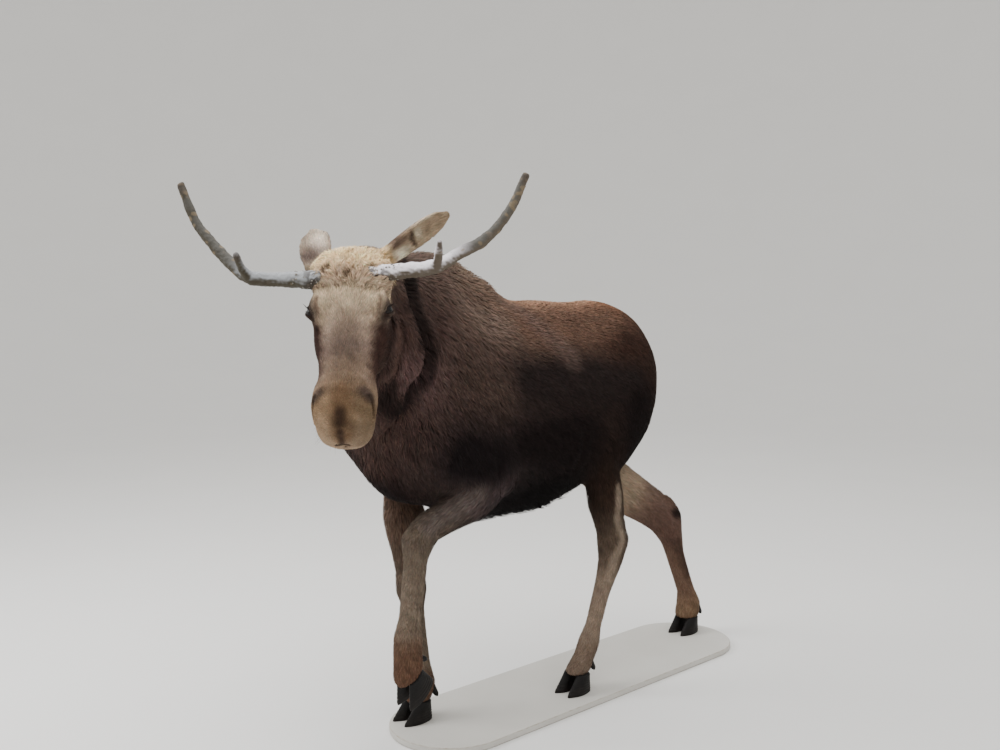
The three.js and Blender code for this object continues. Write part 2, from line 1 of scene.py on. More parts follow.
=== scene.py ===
"""A young bull moose, life size, as a still museum model: skin, winter coat, eyes, antlers, hooves and base.

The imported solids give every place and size. One skin replaces the solids of flesh and lies inside them by the
depth of the coat, and tufts of hair on it reach out to where the solids' surface was.
Lengths are in metres, +Z is up, the animal walks towards -Y and its left side is towards +X.
"""

import logging
import math
from dataclasses import dataclass, field
from enum import Enum

import bpy
import bmesh
import numpy as np
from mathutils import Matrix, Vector
from mathutils.bvhtree import BVHTree


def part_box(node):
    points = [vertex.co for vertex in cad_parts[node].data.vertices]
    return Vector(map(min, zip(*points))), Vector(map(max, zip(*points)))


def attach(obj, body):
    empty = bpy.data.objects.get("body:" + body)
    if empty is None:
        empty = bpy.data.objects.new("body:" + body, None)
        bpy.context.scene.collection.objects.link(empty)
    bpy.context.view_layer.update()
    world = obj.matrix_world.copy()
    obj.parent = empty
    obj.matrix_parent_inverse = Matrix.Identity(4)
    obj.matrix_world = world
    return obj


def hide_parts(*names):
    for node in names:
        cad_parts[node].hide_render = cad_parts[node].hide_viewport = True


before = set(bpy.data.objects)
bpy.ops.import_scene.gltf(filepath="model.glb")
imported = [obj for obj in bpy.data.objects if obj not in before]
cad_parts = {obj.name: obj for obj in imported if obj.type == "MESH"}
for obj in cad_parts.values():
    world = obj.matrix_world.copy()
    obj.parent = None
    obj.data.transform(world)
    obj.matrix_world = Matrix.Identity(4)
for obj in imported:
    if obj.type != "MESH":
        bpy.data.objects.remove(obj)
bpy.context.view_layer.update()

log = logging.getLogger("moose")
MM = 0.001
BODY = "root"
Array = np.ndarray

# ---------------------------------------------------------------- places

BASE_AHEAD = 0.150  # the base's middle, ahead of the hips
HOOF_GAP = 0.0004  # between the base and the soles
HEAD_YAW = math.radians(45.5)  # to the animal's left
HEAD_PITCH = math.radians(30.0)
HEAD_ROLL = math.radians(1.5)
SIDES = {"left": 1, "right": -1}
EYE_RADIUS = 0.022
EYE_AT = (0.211, 0.104, -0.056)  # the eyeball's centre in the head's frame

_low, _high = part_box("stand_base")
HIPS = np.array([(_low.x + _high.x) / 2, (_low.y + _high.y) / 2 + BASE_AHEAD, _high.z + HOOF_GAP])
UP = np.array([0.0, 0.0, 1.0])


def way(ahead: float, left: float, up: float) -> Array:
    """A direction given along the body, to its left and up."""
    return np.array([left, -ahead, up], float)


def at(ahead: float, left: float, up: float) -> Array:
    """A place given in metres ahead of the hips, to the animal's left and up from its soles."""
    return HIPS + way(ahead, left, up)


def body_path(places: tuple) -> Array:
    """A path through places given in metres as for `at`."""
    return np.array([at(*place) for place in places])


def unit(v: Array) -> Array:
    """Vectors made one long, along the last axis."""
    return v / np.maximum(np.linalg.norm(v, axis=-1, keepdims=True), 1e-12)


@dataclass(frozen=True)
class Axes:
    """A turned frame with its own origin."""

    origin: Array
    rows: Array  # the three axes, one to a row

    def place(self, points: Array) -> Array:
        """Carries local points to the row's frame."""
        return np.asarray(points, float) @ self.rows + self.origin

    def place_mm(self, points: Array) -> Array:
        """Carries local points given in millimetres to the row's frame."""
        return self.place(np.asarray(points, float) * MM)

    def turn(self, vectors: Array) -> Array:
        """Carries local directions to the row's frame."""
        return np.asarray(vectors, float) @ self.rows

    def local(self, points: Array) -> Array:
        """Carries points of the row's frame to local ones."""
        return (points - self.origin) @ self.rows.T


def head_axes() -> Axes:
    """The head's frame: x from the poll down the face, y to its left, z out of the face."""
    ahead = way(math.cos(HEAD_YAW), math.sin(HEAD_YAW), 0)
    level = np.cross(UP, ahead)
    left = level * math.cos(HEAD_ROLL) + np.cross(ahead, level) * math.sin(HEAD_ROLL)
    up = np.cross(ahead, left)
    down = ahead * math.sin(HEAD_PITCH) - up * math.cos(HEAD_PITCH)
    return Axes(at(1.555, 0.371, 1.786), np.array([down, left, np.cross(down, left)]))


HEAD = head_axes()


FAR_OFF = 9.0  # the distance given to points that a path's reach leaves out
WAVES = 7
WAVE_GAIN = 1.6  # brings the usual sum of the waves to about one


def smooth(value: Array, low: float, high: float) -> Array:
    """A soft step from 0 at low to 1 at high."""
    t = np.clip((np.asarray(value, float) - low) / (high - low), 0, 1)
    return t * t * (3 - 2 * t)


def distance_to_path(points: Array, path: Array, reach: float = FAR_OFF) -> tuple[Array, Array]:
    """How far points lie from a line through the path's points.

    Args:
        points: n points.
        path: one or more points.
        reach: how far to look. Points farther off may be given as FAR_OFF away.
    Returns:
        The distances, and the share of the way along the path at the nearest point.
    """
    path = np.atleast_2d(path)
    distance, shares = np.full(len(points), FAR_OFF), np.zeros(len(points))
    inside = (points > path.min(axis=0) - reach) & (points < path.max(axis=0) + reach)
    close = np.flatnonzero(inside.all(axis=1))
    local = points[close]
    best, share = np.full(len(local), FAR_OFF ** 2), np.zeros(len(local))
    steps = max(len(path) - 1, 1)
    for i in range(steps):
        a, ab = path[i], path[min(i + 1, len(path) - 1)] - path[i]
        away = local - a
        t = np.clip((away @ ab) / max(ab @ ab, 1e-12), 0, 1)
        away -= t[:, None] * ab
        d = np.einsum("ij,ij->i", away, away)
        share = np.where(d < best, (i + t) / steps, share)
        best = np.minimum(best, d)
    distance[close] = np.sqrt(best)
    shares[close] = share
    return distance, shares


def noise(points: Array, scale: float, seed: int) -> Array:
    """Smooth noise from -1 to 1, with features about `scale` across, as a sum of tilted waves."""
    rng = np.random.default_rng(seed)
    total = np.zeros(len(points))
    for _ in range(WAVES):
        k = unit(rng.normal(size=3)) * rng.uniform(0.6, 1.5) * 2 * math.pi / scale
        bend = unit(rng.normal(size=3)) * 2 * math.pi / (2.7 * scale)
        total += np.sin(points @ k + 1.7 * np.sin(points @ bend + rng.uniform(0, 6)) + rng.uniform(0, 6))
    return total / WAVES * WAVE_GAIN


# ---------------------------------------------------------------- meshes

def make_mesh(name: str, points: Array, faces: Array, soft: bool = True) -> bpy.types.Object:
    """Makes an object from arrays of points and of faces that all have the same number of corners."""
    mesh = bpy.data.meshes.new(name)
    count, corners = faces.shape
    mesh.vertices.add(len(points))
    mesh.vertices.foreach_set("co", np.asarray(points, np.float32).ravel())
    mesh.loops.add(count * corners)
    mesh.loops.foreach_set("vertex_index", faces.astype(np.int32).ravel())
    mesh.polygons.add(count)
    mesh.polygons.foreach_set("loop_start", np.arange(0, count * corners, corners, dtype=np.int32))
    mesh.polygons.foreach_set("use_smooth", np.full(count, soft))
    mesh.update(calc_edges=True)
    obj = bpy.data.objects.new(name, mesh)
    bpy.context.scene.collection.objects.link(obj)
    return obj


def rows_of(items: bpy.types.bpy_prop_collection, name: str, width: int, kind: type) -> Array:
    """One property of all of a mesh's items, a row to each."""
    values = np.zeros(len(items) * width, kind)
    items.foreach_get(name, values)
    return values.reshape(-1, width)


def points_of(mesh: bpy.types.Mesh) -> Array:
    """A mesh's vertices as an array."""
    return rows_of(mesh.vertices, "co", 3, np.float32).astype(float)


def normals_of(mesh: bpy.types.Mesh) -> Array:
    """A mesh's vertex normals as an array."""
    return rows_of(mesh.vertex_normals, "vector", 3, np.float32).astype(float)


def triangles_of(mesh: bpy.types.Mesh) -> Array:
    """A mesh's triangles as vertex numbers."""
    mesh.calc_loop_triangles()
    return rows_of(mesh.loop_triangles, "vertices", 3, np.int32)


def edges_of(mesh: bpy.types.Mesh) -> Array:
    """A mesh's edges as vertex numbers."""
    return rows_of(mesh.edges, "vertices", 2, np.int32)


def tree_of(mesh: bpy.types.Mesh) -> BVHTree:
    """A tree that finds the nearest place on a mesh."""
    return BVHTree.FromPolygons([tuple(p) for p in points_of(mesh)], triangles_of(mesh).tolist())


def move_points(mesh: bpy.types.Mesh, points: Array) -> None:
    """Puts a mesh's vertices at new places."""
    mesh.vertices.foreach_set("co", points.astype(np.float32).ravel())
    mesh.update()


def paint(obj: bpy.types.Object, name: str, values: Array) -> None:
    """Stores one colour or number for each vertex under that name."""
    kind = "FLOAT_COLOR" if values.ndim == 2 else "FLOAT"
    layer = obj.data.attributes.new(name, kind, "POINT")
    if values.ndim == 2:
        rgba = np.ones((len(values), 4), np.float32)
        rgba[:, :3] = values
        layer.data.foreach_set("color", rgba.ravel())
    else:
        layer.data.foreach_set("value", values.astype(np.float32))


def map_uv(obj: bpy.types.Object, uv: Array, name: str = "OFBake") -> None:
    """Stores one pair of map coordinates for each vertex."""
    layer = obj.data.uv_layers.new(name=name)
    corner = rows_of(obj.data.loops, "vertex_index", 1, np.int32)[:, 0]
    layer.data.foreach_set("uv", uv[corner].astype(np.float32).ravel())


def joined(parts: list[tuple[Array, Array]]) -> tuple[Array, Array]:
    """Several bodies' points and triangles as those of one."""
    starts = np.cumsum([0] + [len(points) for points, _ in parts])
    return (np.concatenate([points for points, _ in parts]),
            np.concatenate([faces + start for (_, faces), start in zip(parts, starts)]))


def solid(name: str) -> tuple[Array, Array]:
    """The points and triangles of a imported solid, with its doubled points merged."""
    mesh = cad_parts[name].data
    points, index = np.unique(np.round(points_of(mesh), 6), axis=0, return_inverse=True)
    return points, index.reshape(-1)[triangles_of(mesh)]


def evaluated(obj: bpy.types.Object, name: str) -> bpy.types.Object:
    """Replaces an object by a plain mesh of what its modifiers make."""
    graph = bpy.context.evaluated_depsgraph_get()
    mesh = bpy.data.meshes.new_from_object(obj.evaluated_get(graph))
    bpy.data.objects.remove(obj)
    mesh.name = name
    made = bpy.data.objects.new(name, mesh)
    bpy.context.scene.collection.objects.link(made)
    return made


def remeshed(name: str, nodes: list[str], voxel: float) -> bpy.types.Object:
    """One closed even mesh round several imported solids."""
    obj = make_mesh(name + "_source", *joined([solid(node) for node in nodes]))
    modifier = obj.modifiers.new("Remesh", "REMESH")
    modifier.mode = "VOXEL"
    modifier.voxel_size = voxel
    modifier.use_smooth_shade = True
    return evaluated(obj, name)


def relax(points: Array, edges: Array, rounds: Array, rate: float = 0.8, swell: float = 0.0) -> Array:
    """Moves points towards the middle of their neighbours.

    Args:
        points: the places to start from.
        edges: pairs of neighbours.
        rounds: for each point, the number of rounds that it takes part in.
        rate: the share of the way that a point moves in one round.
        swell: how far each round then moves it back out, against the rate, which keeps the shape's size.
    Returns:
        The new places.
    """
    ends = np.concatenate([edges, edges[:, ::-1]])
    order = np.argsort(ends[:, 0], kind="stable")
    first, second = ends[order, 0], ends[order, 1]
    degree = np.bincount(first, minlength=len(points))
    starts = np.concatenate([[0], np.cumsum(degree)[:-1]])
    out = points.copy()
    for step in range(int(rounds.max())):
        weight = np.clip(rounds - step, 0, 1)[:, None] * rate
        for part in (1, -swell) if swell else (1,):
            middle = np.add.reduceat(out[second], starts) / degree[:, None]
            out += part * weight * (middle - out)
    return out


# ---------------------------------------------------------------- the lie of the coat

class Patch(Enum):
    """Which piece of the coat a tuft belongs to."""

    BODY = "body"
    NECK = "neck"
    LEGS = "legs"
    HEAD = "head"
    EARS = "ears"
    TAIL = "tail"


@dataclass(frozen=True)
class Lie:
    """How the coat grows along one length of the body. Sizes are in millimetres."""

    patch: Patch
    start: Array
    end: Array
    flow: Array  # the way the hair points
    length: float
    width: float
    depth: float  # from the skin to the tips
    lift: float  # how far a tuft stands out, from 0 flat to 1 on end
    root: tuple[float, float, float]
    tip: tuple[float, float, float]
    reach: float = 1.0  # how far its influence goes, against the others


CHOCOLATE = (0.0085, 0.0056, 0.0054)
BLACK_BROWN = (0.004, 0.0032, 0.0033)
# the back's chestnut hair, partly painted light: brightened by the sheen of the sky on top of the back
CHESTNUT_WITH_SHEEN = (0.27, 0.154, 0.098)
RUST = (0.045, 0.022, 0.014)
GRIZZLE = (0.125, 0.085, 0.062)
UMBER = (0.028, 0.0175, 0.014)
TAUPE = (0.155, 0.108, 0.083)
FAWN = (0.34, 0.26, 0.18)
CREAM = (0.7, 0.54, 0.34)


def both_sides(paired: bool, *places: tuple) -> list[list[Array]]:
    """The places as they are given and, when they are paired, again on the animal's other side."""
    return [[np.array([p[0], p[1] * s, p[2]]) for p in places] for s in ((1, -1) if paired else (1,))]


def body_lies() -> list[Lie]:
    """The lie of the coat over the trunk, neck and tail."""
    lies = []

    def add(patch: Patch, a: tuple, b: tuple, flow: tuple, size: tuple, root: tuple, tip: tuple,
            lift: float = 0.12, reach: float = 1.0, paired: bool = False) -> None:
        """Adds one lie, or one on either side."""
        for start, end, heading in both_sides(paired, a, b, flow):
            lies.append(Lie(patch, at(*start), at(*end), unit(way(*heading)), *size, lift, root, tip,
                            reach))

    body, neck, tail = Patch.BODY, Patch.NECK, Patch.TAIL
    dusk, mane, wine = (0.058, 0.038, 0.031), (0.052, 0.032, 0.027), (0.055, 0.033, 0.028)
    add(body, (0.98, 0, 1.72), (0.8, 0, 1.7), (-0.8, 0, -0.3), (66, 4.4, 28), UMBER, GRIZZLE, 0.2)
    add(body, (1.0, 0.14, 1.56), (0.78, 0.15, 1.53), (-0.68, 0.1, -0.72), (56, 4, 22), UMBER,
        (0.125, 0.085, 0.066), 0.1, 1, True)
    add(body, (1.0, 0.24, 1.36), (0.84, 0.25, 1.3), (-0.58, 0, -0.82), (46, 3.8, 18), CHOCOLATE, dusk, 0.06,
        1, True)
    add(body, (1.0, 0.24, 1.08), (0.86, 0.24, 1.04), (-0.42, 0, -0.9), (40, 3.6, 15), CHOCOLATE,
        (0.009, 0.0065, 0.0068), 0.05, 1, True)
    add(body, (0.72, 0.24, 1.32), (0.12, 0.24, 1.29), (-0.8, 0, -0.6), (42, 3.8, 16), CHOCOLATE,
        (0.018, 0.0125, 0.0115), 0.04, 1, True)
    add(body, (0.72, 0.25, 1.08), (0.42, 0.25, 1.08), (-0.8, 0, -0.6), (44, 3.8, 18), BLACK_BROWN,
        CHOCOLATE, 0.05, 1, True)
    # the top of the back: chestnut hair with a painted sheen of the sky
    add(body, (0.62, 0, 1.6), (0.16, 0, 1.6), (-0.97, 0, -0.25), (38, 3.7, 14), RUST, CHESTNUT_WITH_SHEEN, 0.04)
    add(body, (0.62, 0.14, 1.5), (0.16, 0.14, 1.52), (-0.9, 0.1, -0.42), (40, 3.7, 14), RUST,
        (0.105, 0.06, 0.042), 0.04, 1, True)
    add(body, (0.08, 0, 1.58), (-0.1, 0, 1.52), (-0.8, 0, -0.5), (38, 3.6, 13), RUST, (0.17, 0.072, 0.036),
        0.04)
    add(body, (0.1, 0.17, 1.42), (-0.08, 0.15, 1.38), (-0.62, 0, -0.78), (38, 3.6, 13), CHOCOLATE,
        (0.032, 0.0165, 0.012), 0.04, 1, True)
    add(body, (-0.2, 0.05, 1.4), (-0.2, 0.08, 1.2), (-0.2, 0, -0.98), (40, 3.6, 13), BLACK_BROWN, CHOCOLATE,
        0.05, 1, True)
    add(body, (0.08, 0.23, 1.2), (0.06, 0.21, 1.0), (-0.3, 0, -0.95), (36, 3.5, 12), BLACK_BROWN, CHOCOLATE,
        0.04, 1, True)
    add(body, (0.8, 0, 0.78), (0.42, 0, 0.8), (-0.7, 0, -0.7), (100, 4.8, 38), BLACK_BROWN, BLACK_BROWN,
        0.34)
    add(body, (0.75, 0.16, 0.84), (0.42, 0.16, 0.86), (-0.72, 0, -0.68), (64, 4.2, 26), BLACK_BROWN,
        BLACK_BROWN, 0.14, 1, True)
    add(body, (0.26, 0, 0.92), (0.1, 0, 1.0), (-0.6, 0, -0.8), (44, 4, 16), BLACK_BROWN, UMBER, 0.08)
    add(body, (1.16, 0, 0.98), (0.98, 0, 0.88), (-0.4, 0, -0.9), (52, 4.2, 20), BLACK_BROWN,
        (0.013, 0.0082, 0.008), 0.1)
    add(neck, (1.25, 0.02, 1.3), (1.25, 0.02, 1.08), (-0.1, 0, -1), (60, 4.3, 24), CHOCOLATE, wine, 0.1)
    add(neck, (1.46, 0.28, 1.74), (1.12, 0.08, 1.74), (-0.85, -0.45, -0.25), (76, 4.6, 30), UMBER,
        (0.085, 0.058, 0.046), 0.26)
    add(neck, (1.4, 0.36, 1.6), (1.16, 0.26, 1.56), (-0.62, -0.2, -0.72), (60, 4.3, 25), CHOCOLATE, mane,
        0.14)
    add(neck, (1.34, 0.3, 1.42), (1.18, 0.28, 1.36), (-0.5, -0.15, -0.85), (58, 4.2, 24), CHOCOLATE,
        (0.1, 0.06, 0.056), 0.1)
    add(neck, (1.4, 0.1, 1.6), (1.16, -0.14, 1.5), (-0.7, -0.4, -0.6), (60, 4.3, 25), CHOCOLATE, mane, 0.14)
    add(neck, (1.46, 0.3, 1.42), (1.28, 0.14, 1.2), (-0.35, -0.15, -0.92), (70, 4.4, 28), BLACK_BROWN, wine,
        0.14)
    add(neck, (1.4, 0.35, 1.58), (1.37, 0.33, 1.4), (-0.55, -0.1, -0.83), (28, 2.8, 10), RUST,
        (0.08, 0.047, 0.038), 0.05, 0.6)
    add(tail, (-0.16, 0, 1.48), (-0.22, 0, 1.32), (-0.3, 0, -0.95), (40, 3.6, 12), CHOCOLATE, UMBER, 0.08,
        0.6)
    return lies


@dataclass(frozen=True)
class LegPlan:
    """A leg's joints from the top down, and its foot, as they are in the solids."""

    joints: tuple
    hoof: tuple
    toe: tuple
    coat: tuple  # the hair's tips above the knee or hock, at it, on the cannon and on the pastern


LEGS = {
    "front_left": LegPlan(((1.12, 0.165, 1.13), (0.8, 0.195, 0.95), (1.13, 0.15, 0.79),
                           (1.16, 0.122, 0.395)),
                          (1.113, 0.118, 0.222), (0.766, 0, -0.643),
                          ((0.17, 0.122, 0.122), (0.135, 0.104, 0.077), (0.165, 0.127, 0.095),
                           (0.11, 0.06, 0.039))),
    "front_right": LegPlan(((1.15, -0.165, 1.15), (0.955, -0.168, 0.91), (0.94, -0.132, 0.5),
                            (0.902, -0.115, 0.152)),
                           (0.945, -0.113, 0), (1, 0, 0),
                           # partly painted light: the upper leg's hair is painted paler to make up for the
                           # shade under the body
                           ((0.22, 0.135, 0.092), (0.11, 0.08, 0.06), (0.15, 0.115, 0.085),
                            (0.11, 0.06, 0.04))),
    "hind_left": LegPlan(((0.02, 0.115, 1.3), (0.215, 0.165, 0.975), (0.086, 0.132, 0.56),
                          (0.212, 0.114, 0.165)),
                         (0.290, 0.112, 0), (1, 0, 0),
                         ((0.029, 0.016, 0.0108), (0.095, 0.068, 0.05), (0.23, 0.172, 0.128),
                          (0.17, 0.122, 0.09))),
    "hind_right": LegPlan(((0, -0.115, 1.29), (-0.125, -0.15, 0.85), (-0.545, -0.072, 0.522),
                           (-0.686, -0.046, 0.15)),
                          (-0.655, -0.044, 0), (1, 0, 0),
                          # partly painted light: the thigh's pale hair is painted paler still to make up for
                          # its own shade
                          ((0.33, 0.25, 0.172), (0.105, 0.062, 0.049), (0.14, 0.085, 0.06),
                           (0.17, 0.108, 0.066))),
}


def foot_axes(plan: LegPlan) -> Axes:
    """A foot's frame: x where the toe points, y to the left, z up out of the hoof."""
    ahead = unit(way(*plan.toe))
    left = way(0, 1, 0)
    return Axes(at(*plan.hoof), np.array([ahead, left, np.cross(ahead, left)]))


def round_foot(local: Array, low: float, high: float) -> Array:
    """Which points of a foot's frame lie round it, between two heights."""
    x, y, z = local.T
    return (np.abs(x) < 0.12) & (np.abs(y) < 0.1) & (z > low) & (z < high)


ROOT_SHADE = 0.72  # how dark the legs' hair is at its roots, against its tips


def leg_lies() -> list[Lie]:
    """The lie of the coat down the four legs."""
    lies = []
    for plan in LEGS.values():
        _, middle, lower, fetlock = body_path(plan.joints)
        foot = foot_axes(plan)
        coronet = foot.place((-0.01, 0, 0.08))

        thigh, joint, cannon, pastern = plan.coat
        for a, b, shares, size, tip, lift, reach in (
                (middle, lower, (0.02, 0.35), (34, 3.4, 11), thigh, 0.05, 0.8),
                (middle, lower, (0.5, 0.85), (26, 2.8, 8), joint, 0.04, 0.6),
                (lower, fetlock, (0, 0.1), (20, 2.5, 6), joint, 0.04, 0.55),
                (lower, fetlock, (0.25, 0.8), (18, 2.4, 5.5), cannon, 0.03, 0.5),
                (fetlock, coronet, (0, 0.5), (20, 2.4, 6.5), pastern, 0.05, 0.45),
                (fetlock, coronet, (0.8, 1), (22, 2.4, 6.5), pastern, 0.12, 0.4)):
            start, end = (a + share * (b - a) for share in shares)
            root = tuple(ROOT_SHADE * c for c in tip)
            lies.append(Lie(Patch.LEGS, start, end, unit(end - start), *size, lift, root, tip, reach))
    return lies


def head_lies() -> list[Lie]:
    """The lie of the coat over the head, in the head's own frame."""
    lies = []

    def add(a: tuple, b: tuple, flow: tuple, size: tuple, root: tuple, tip: tuple, lift: float = 0.06,
            reach: float = 0.4, paired: bool = True) -> None:
        """Adds one lie, or one on either side."""
        for start, end, heading in both_sides(paired, a, b, flow):
            lies.append(Lie(Patch.HEAD, HEAD.place_mm(start), HEAD.place_mm(end), unit(HEAD.turn(heading)),
                            *size, lift, root, tip, reach))

    cheek, dark_cheek = (0.03, 0.0165, 0.0135), (0.045, 0.024, 0.0195)
    add((470, 0, -2), (300, 0, 0), (-1, 0, 0), (13, 1.9, 3.6), TAUPE, (0.185, 0.13, 0.1), paired=False)
    add((450, 44, -14), (300, 52, -14), (-1, 0.15, -0.1), (13, 1.9, 3.6), TAUPE, (0.18, 0.128, 0.1))
    add((240, 0, 0), (175, 0, 0), (-1, 0, 0.1), (17, 2.1, 5), FAWN, (0.44, 0.35, 0.25), 0.06, paired=False)
    add((235, 60, -14), (175, 70, -14), (-1, 0.25, 0), (15, 2, 4.5), (0.26, 0.2, 0.145), FAWN, 0.05)
    add((232, 104, -44), (200, 106, -40), (-1, 0.3, -0.2), (8, 1.5, 2.2), (0.05, 0.036, 0.03),
        (0.08, 0.06, 0.05), 0.03, 0.3)
    add((430, 62, -86), (290, 92, -76), (-0.95, 0.1, -0.35), (16, 2.1, 5), cheek, dark_cheek, 0.05)
    add((300, 112, -140), (200, 116, -150), (-0.8, 0.1, -0.6), (26, 2.6, 9), BLACK_BROWN,
        (0.024, 0.0125, 0.01), 0.08, 0.5)
    add((500, 56, -130), (380, 70, -150), (-0.85, 0, -0.5), (20, 2.5, 7), UMBER, (0.06, 0.038, 0.028), 0.08,
        0.45)
    add((330, 20, -215), (200, 20, -250), (-0.6, 0, -0.8), (46, 3.8, 18), BLACK_BROWN, CHOCOLATE, 0.16, 0.5)
    add((580, 0, -30), (490, 0, -8), (-0.9, 0, 0.1), (8, 1.6, 2.2), (0.1, 0.058, 0.032),
        (0.15, 0.088, 0.05), 0.03, 0.4, False)
    add((580, 44, -40), (500, 62, -30), (-0.7, 0.5, -0.3), (8, 1.6, 2.2), (0.26, 0.18, 0.115),
        (0.31, 0.22, 0.14), 0.03, 0.36)
    add((560, 76, -80), (480, 80, -84), (-0.8, 0.2, -0.5), (9, 1.6, 2.6), (0.22, 0.155, 0.1),
        (0.28, 0.2, 0.135), 0.04, 0.36)
    add((606, 34, -80), (600, 0, -90), (0.3, 0.1, -1), (8, 1.6, 2.2), (0.27, 0.195, 0.125),
        (0.33, 0.24, 0.16), 0.04, 0.36)
    add((590, 24, -150), (560, 30, -160), (-0.4, 0, -0.9), (14, 1.9, 5), (0.17, 0.12, 0.08),
        (0.24, 0.17, 0.115), 0.1, 0.36)
    add((140, 0, 0), (104, 0, 2), (-0.5, 0, 0.6), (24, 2.6, 13), (0.26, 0.19, 0.13), (0.48, 0.37, 0.25),
        0.3, 0.36, False)
    add((130, 62, -8), (108, 84, -20), (-0.4, 0.7, 0.3), (22, 2.6, 11), (0.24, 0.175, 0.12),
        (0.44, 0.34, 0.23), 0.26, 0.36)
    add((76, 0, 0), (48, 0, -14), (-0.6, 0, 0.5), (26, 2.6, 14), (0.46, 0.36, 0.24), CREAM, 0.3, 0.36,
        False)
    add((76, 60, -16), (56, 80, -40), (-0.5, 0.7, 0.3), (24, 2.6, 12), (0.42, 0.33, 0.22), CREAM, 0.26,
        0.36)
    add((20, 0, -70), (0, 0, -110), (-0.8, 0, -0.2), (56, 3.8, 22), (0.03, 0.024, 0.024),
        (0.07, 0.056, 0.054), 0.3, 0.4, False)
    add((80, 104, -90), (60, 110, -120), (-0.5, 0.3, -0.6), (30, 3, 11), UMBER, (0.12, 0.085, 0.062), 0.14,
        0.36)
    return lies


@dataclass(frozen=True)
class EarPlan:
    """An ear's root, tip and the way it opens, in the level frame of the crown, in millimetres."""

    root: tuple
    tip: tuple
    opening: tuple


EARS = {
    "right": EarPlan((-30, -98, -70), (-200, -138, 48), (0.5, -0.25, 0.85)),
    "left": EarPlan((-32, 96, -56), (-82, 286, 110), (0.5, 0.4, -0.75)),
}


def crown_axes() -> Axes:
    """A level frame at the crown: x where the nose points, y to the left, z up."""
    ahead = way(math.cos(HEAD_YAW), math.sin(HEAD_YAW), 0)
    return Axes(at(1.56, 0.366, 1.77), np.array([ahead, np.cross(UP, ahead), UP]))


CROWN = crown_axes()


def ear_lies() -> list[Lie]:
    """The lie of the coat along both ears."""
    lies = []
    for plan in EARS.values():
        root, tip = CROWN.place_mm((plan.root, plan.tip))
        flow = unit(tip - root)
        lies.append(Lie(Patch.EARS, root + 0.2 * (tip - root), tip, flow, 15, 2.2, 2.5, 0.06,
                        (0.16, 0.12, 0.085), (0.27, 0.21, 0.145), 0.7))
    return lies


@dataclass(frozen=True)
class Growth:
    """The coat at many places at once: one row of each array to a place."""

    patch: Array
    flow: Array
    length: Array
    width: Array
    depth: Array
    lift: Array
    root: Array
    tip: Array


class Coatmap:
    """Blends the lies of the coat, nearest first."""

    def __init__(self) -> None:
        """Gathers the lies of all parts of the body."""
        self.lies = body_lies() + leg_lies() + head_lies() + ear_lies()
        self.patches = list(Patch)

    def column(self, name: str) -> Array:
        """One property of all the lies, a row to each."""
        return np.array([getattr(lie, name) for lie in self.lies], float)

    def weights(self, points: Array) -> Array:
        """The share that each lie has at each point."""
        a, reach = self.column("start"), self.column("reach")
        ab = self.column("end") - a
        long = np.maximum((ab * ab).sum(axis=1), 1e-9)
        along = points @ ab.T - (a * ab).sum(axis=1)
        t = np.clip(along / long, 0, 1)
        far = (points ** 2).sum(axis=1)[:, None] - 2 * points @ a.T + (a * a).sum(axis=1)
        far = far - t * (2 * along - t * long)
        far = np.maximum(far, 0) / reach ** 2
        w = 1 / (far * far + 1e-7)
        w[far > 16 * far.min(axis=1, keepdims=True) + 1e-5] = 0
        return w / w.sum(axis=1, keepdims=True)

    def grow(self, points: Array) -> Growth:
        """The coat at the given points."""
        w = self.weights(points)
        soft = w ** 0.55
        soft /= soft.sum(axis=1, keepdims=True)

        def blend(name: str) -> Array:
            """One property at every point."""
            return w @ self.column(name)

        def shade(name: str) -> Array:
            """A colour at every point, blended softly by how light it looks."""
            return (soft @ np.cbrt(self.column(name))) ** 3

        order = np.array([self.patches.index(lie.patch) for lie in self.lies])
        return Growth(order[w.argmax(axis=1)], unit(blend("flow")), blend("length") * MM,
                      blend("width") * MM,
                      blend("depth") * MM, blend("lift"), shade("root"), shade("tip"))


# ---------------------------------------------------------------- markings, shared by skin and coat

EYE_AT_MM = tuple(v / MM for v in EYE_AT)
EYE_OPENING = (0.0175, 0.0082, 0.0072)  # half the eye's opening: along, above and below


def eye_axes(side: int) -> Axes:
    """An eye's frame: x from the inner corner to the outer one, y up, z out through the pupil."""
    out = unit(HEAD.turn((0.06, 0.82 * side, 0.56)))
    outer = HEAD.turn((-0.75, 0.4 * side, -0.5))
    along = unit(outer - (outer @ out) * out)
    up = np.cross(out, along)
    up *= np.sign(up @ HEAD.turn((0, 0, 1)))
    return Axes(HEAD.place((EYE_AT[0], EYE_AT[1] * side, EYE_AT[2])), np.array([along, up, out]))


def eye_rim(side: int) -> Array:
    """The edge of an eye's opening, as a closed path on the ball."""
    turn = np.linspace(0, 2 * math.pi, 25)
    along, above, below = EYE_OPENING
    x, y = along * np.cos(turn), np.where(np.sin(turn) > 0, above, below) * np.sin(turn)
    z = np.sqrt((EYE_RADIUS + 0.002) ** 2 - x * x - y * y)
    return eye_axes(side).place(np.stack([x, y, z], axis=1))


@dataclass(frozen=True)
class Mark:
    """A marking that follows a path. Width and fade are in metres."""

    path: Array
    width: float
    fade: float
    colour: tuple[float, float, float]
    strength: float = 0.9


def mirrored(points: list[tuple]) -> list[Array]:
    """A path of the head's frame, in millimetres, on the left and on the right, in the row's frame."""
    left = np.array(points, float) * MM
    return [HEAD.place(left * (1, s, 1)) for s in (1, -1)]


NOSTRIL = [(500, 72, -22), (516, 79, -32), (534, 84, -48), (548, 84, -60)]
MOUTH = [(604, 0, -108), (596, 34, -110), (566, 58, -113), (510, 68, -118), (450, 66, -124),
         (418, 62, -126)]

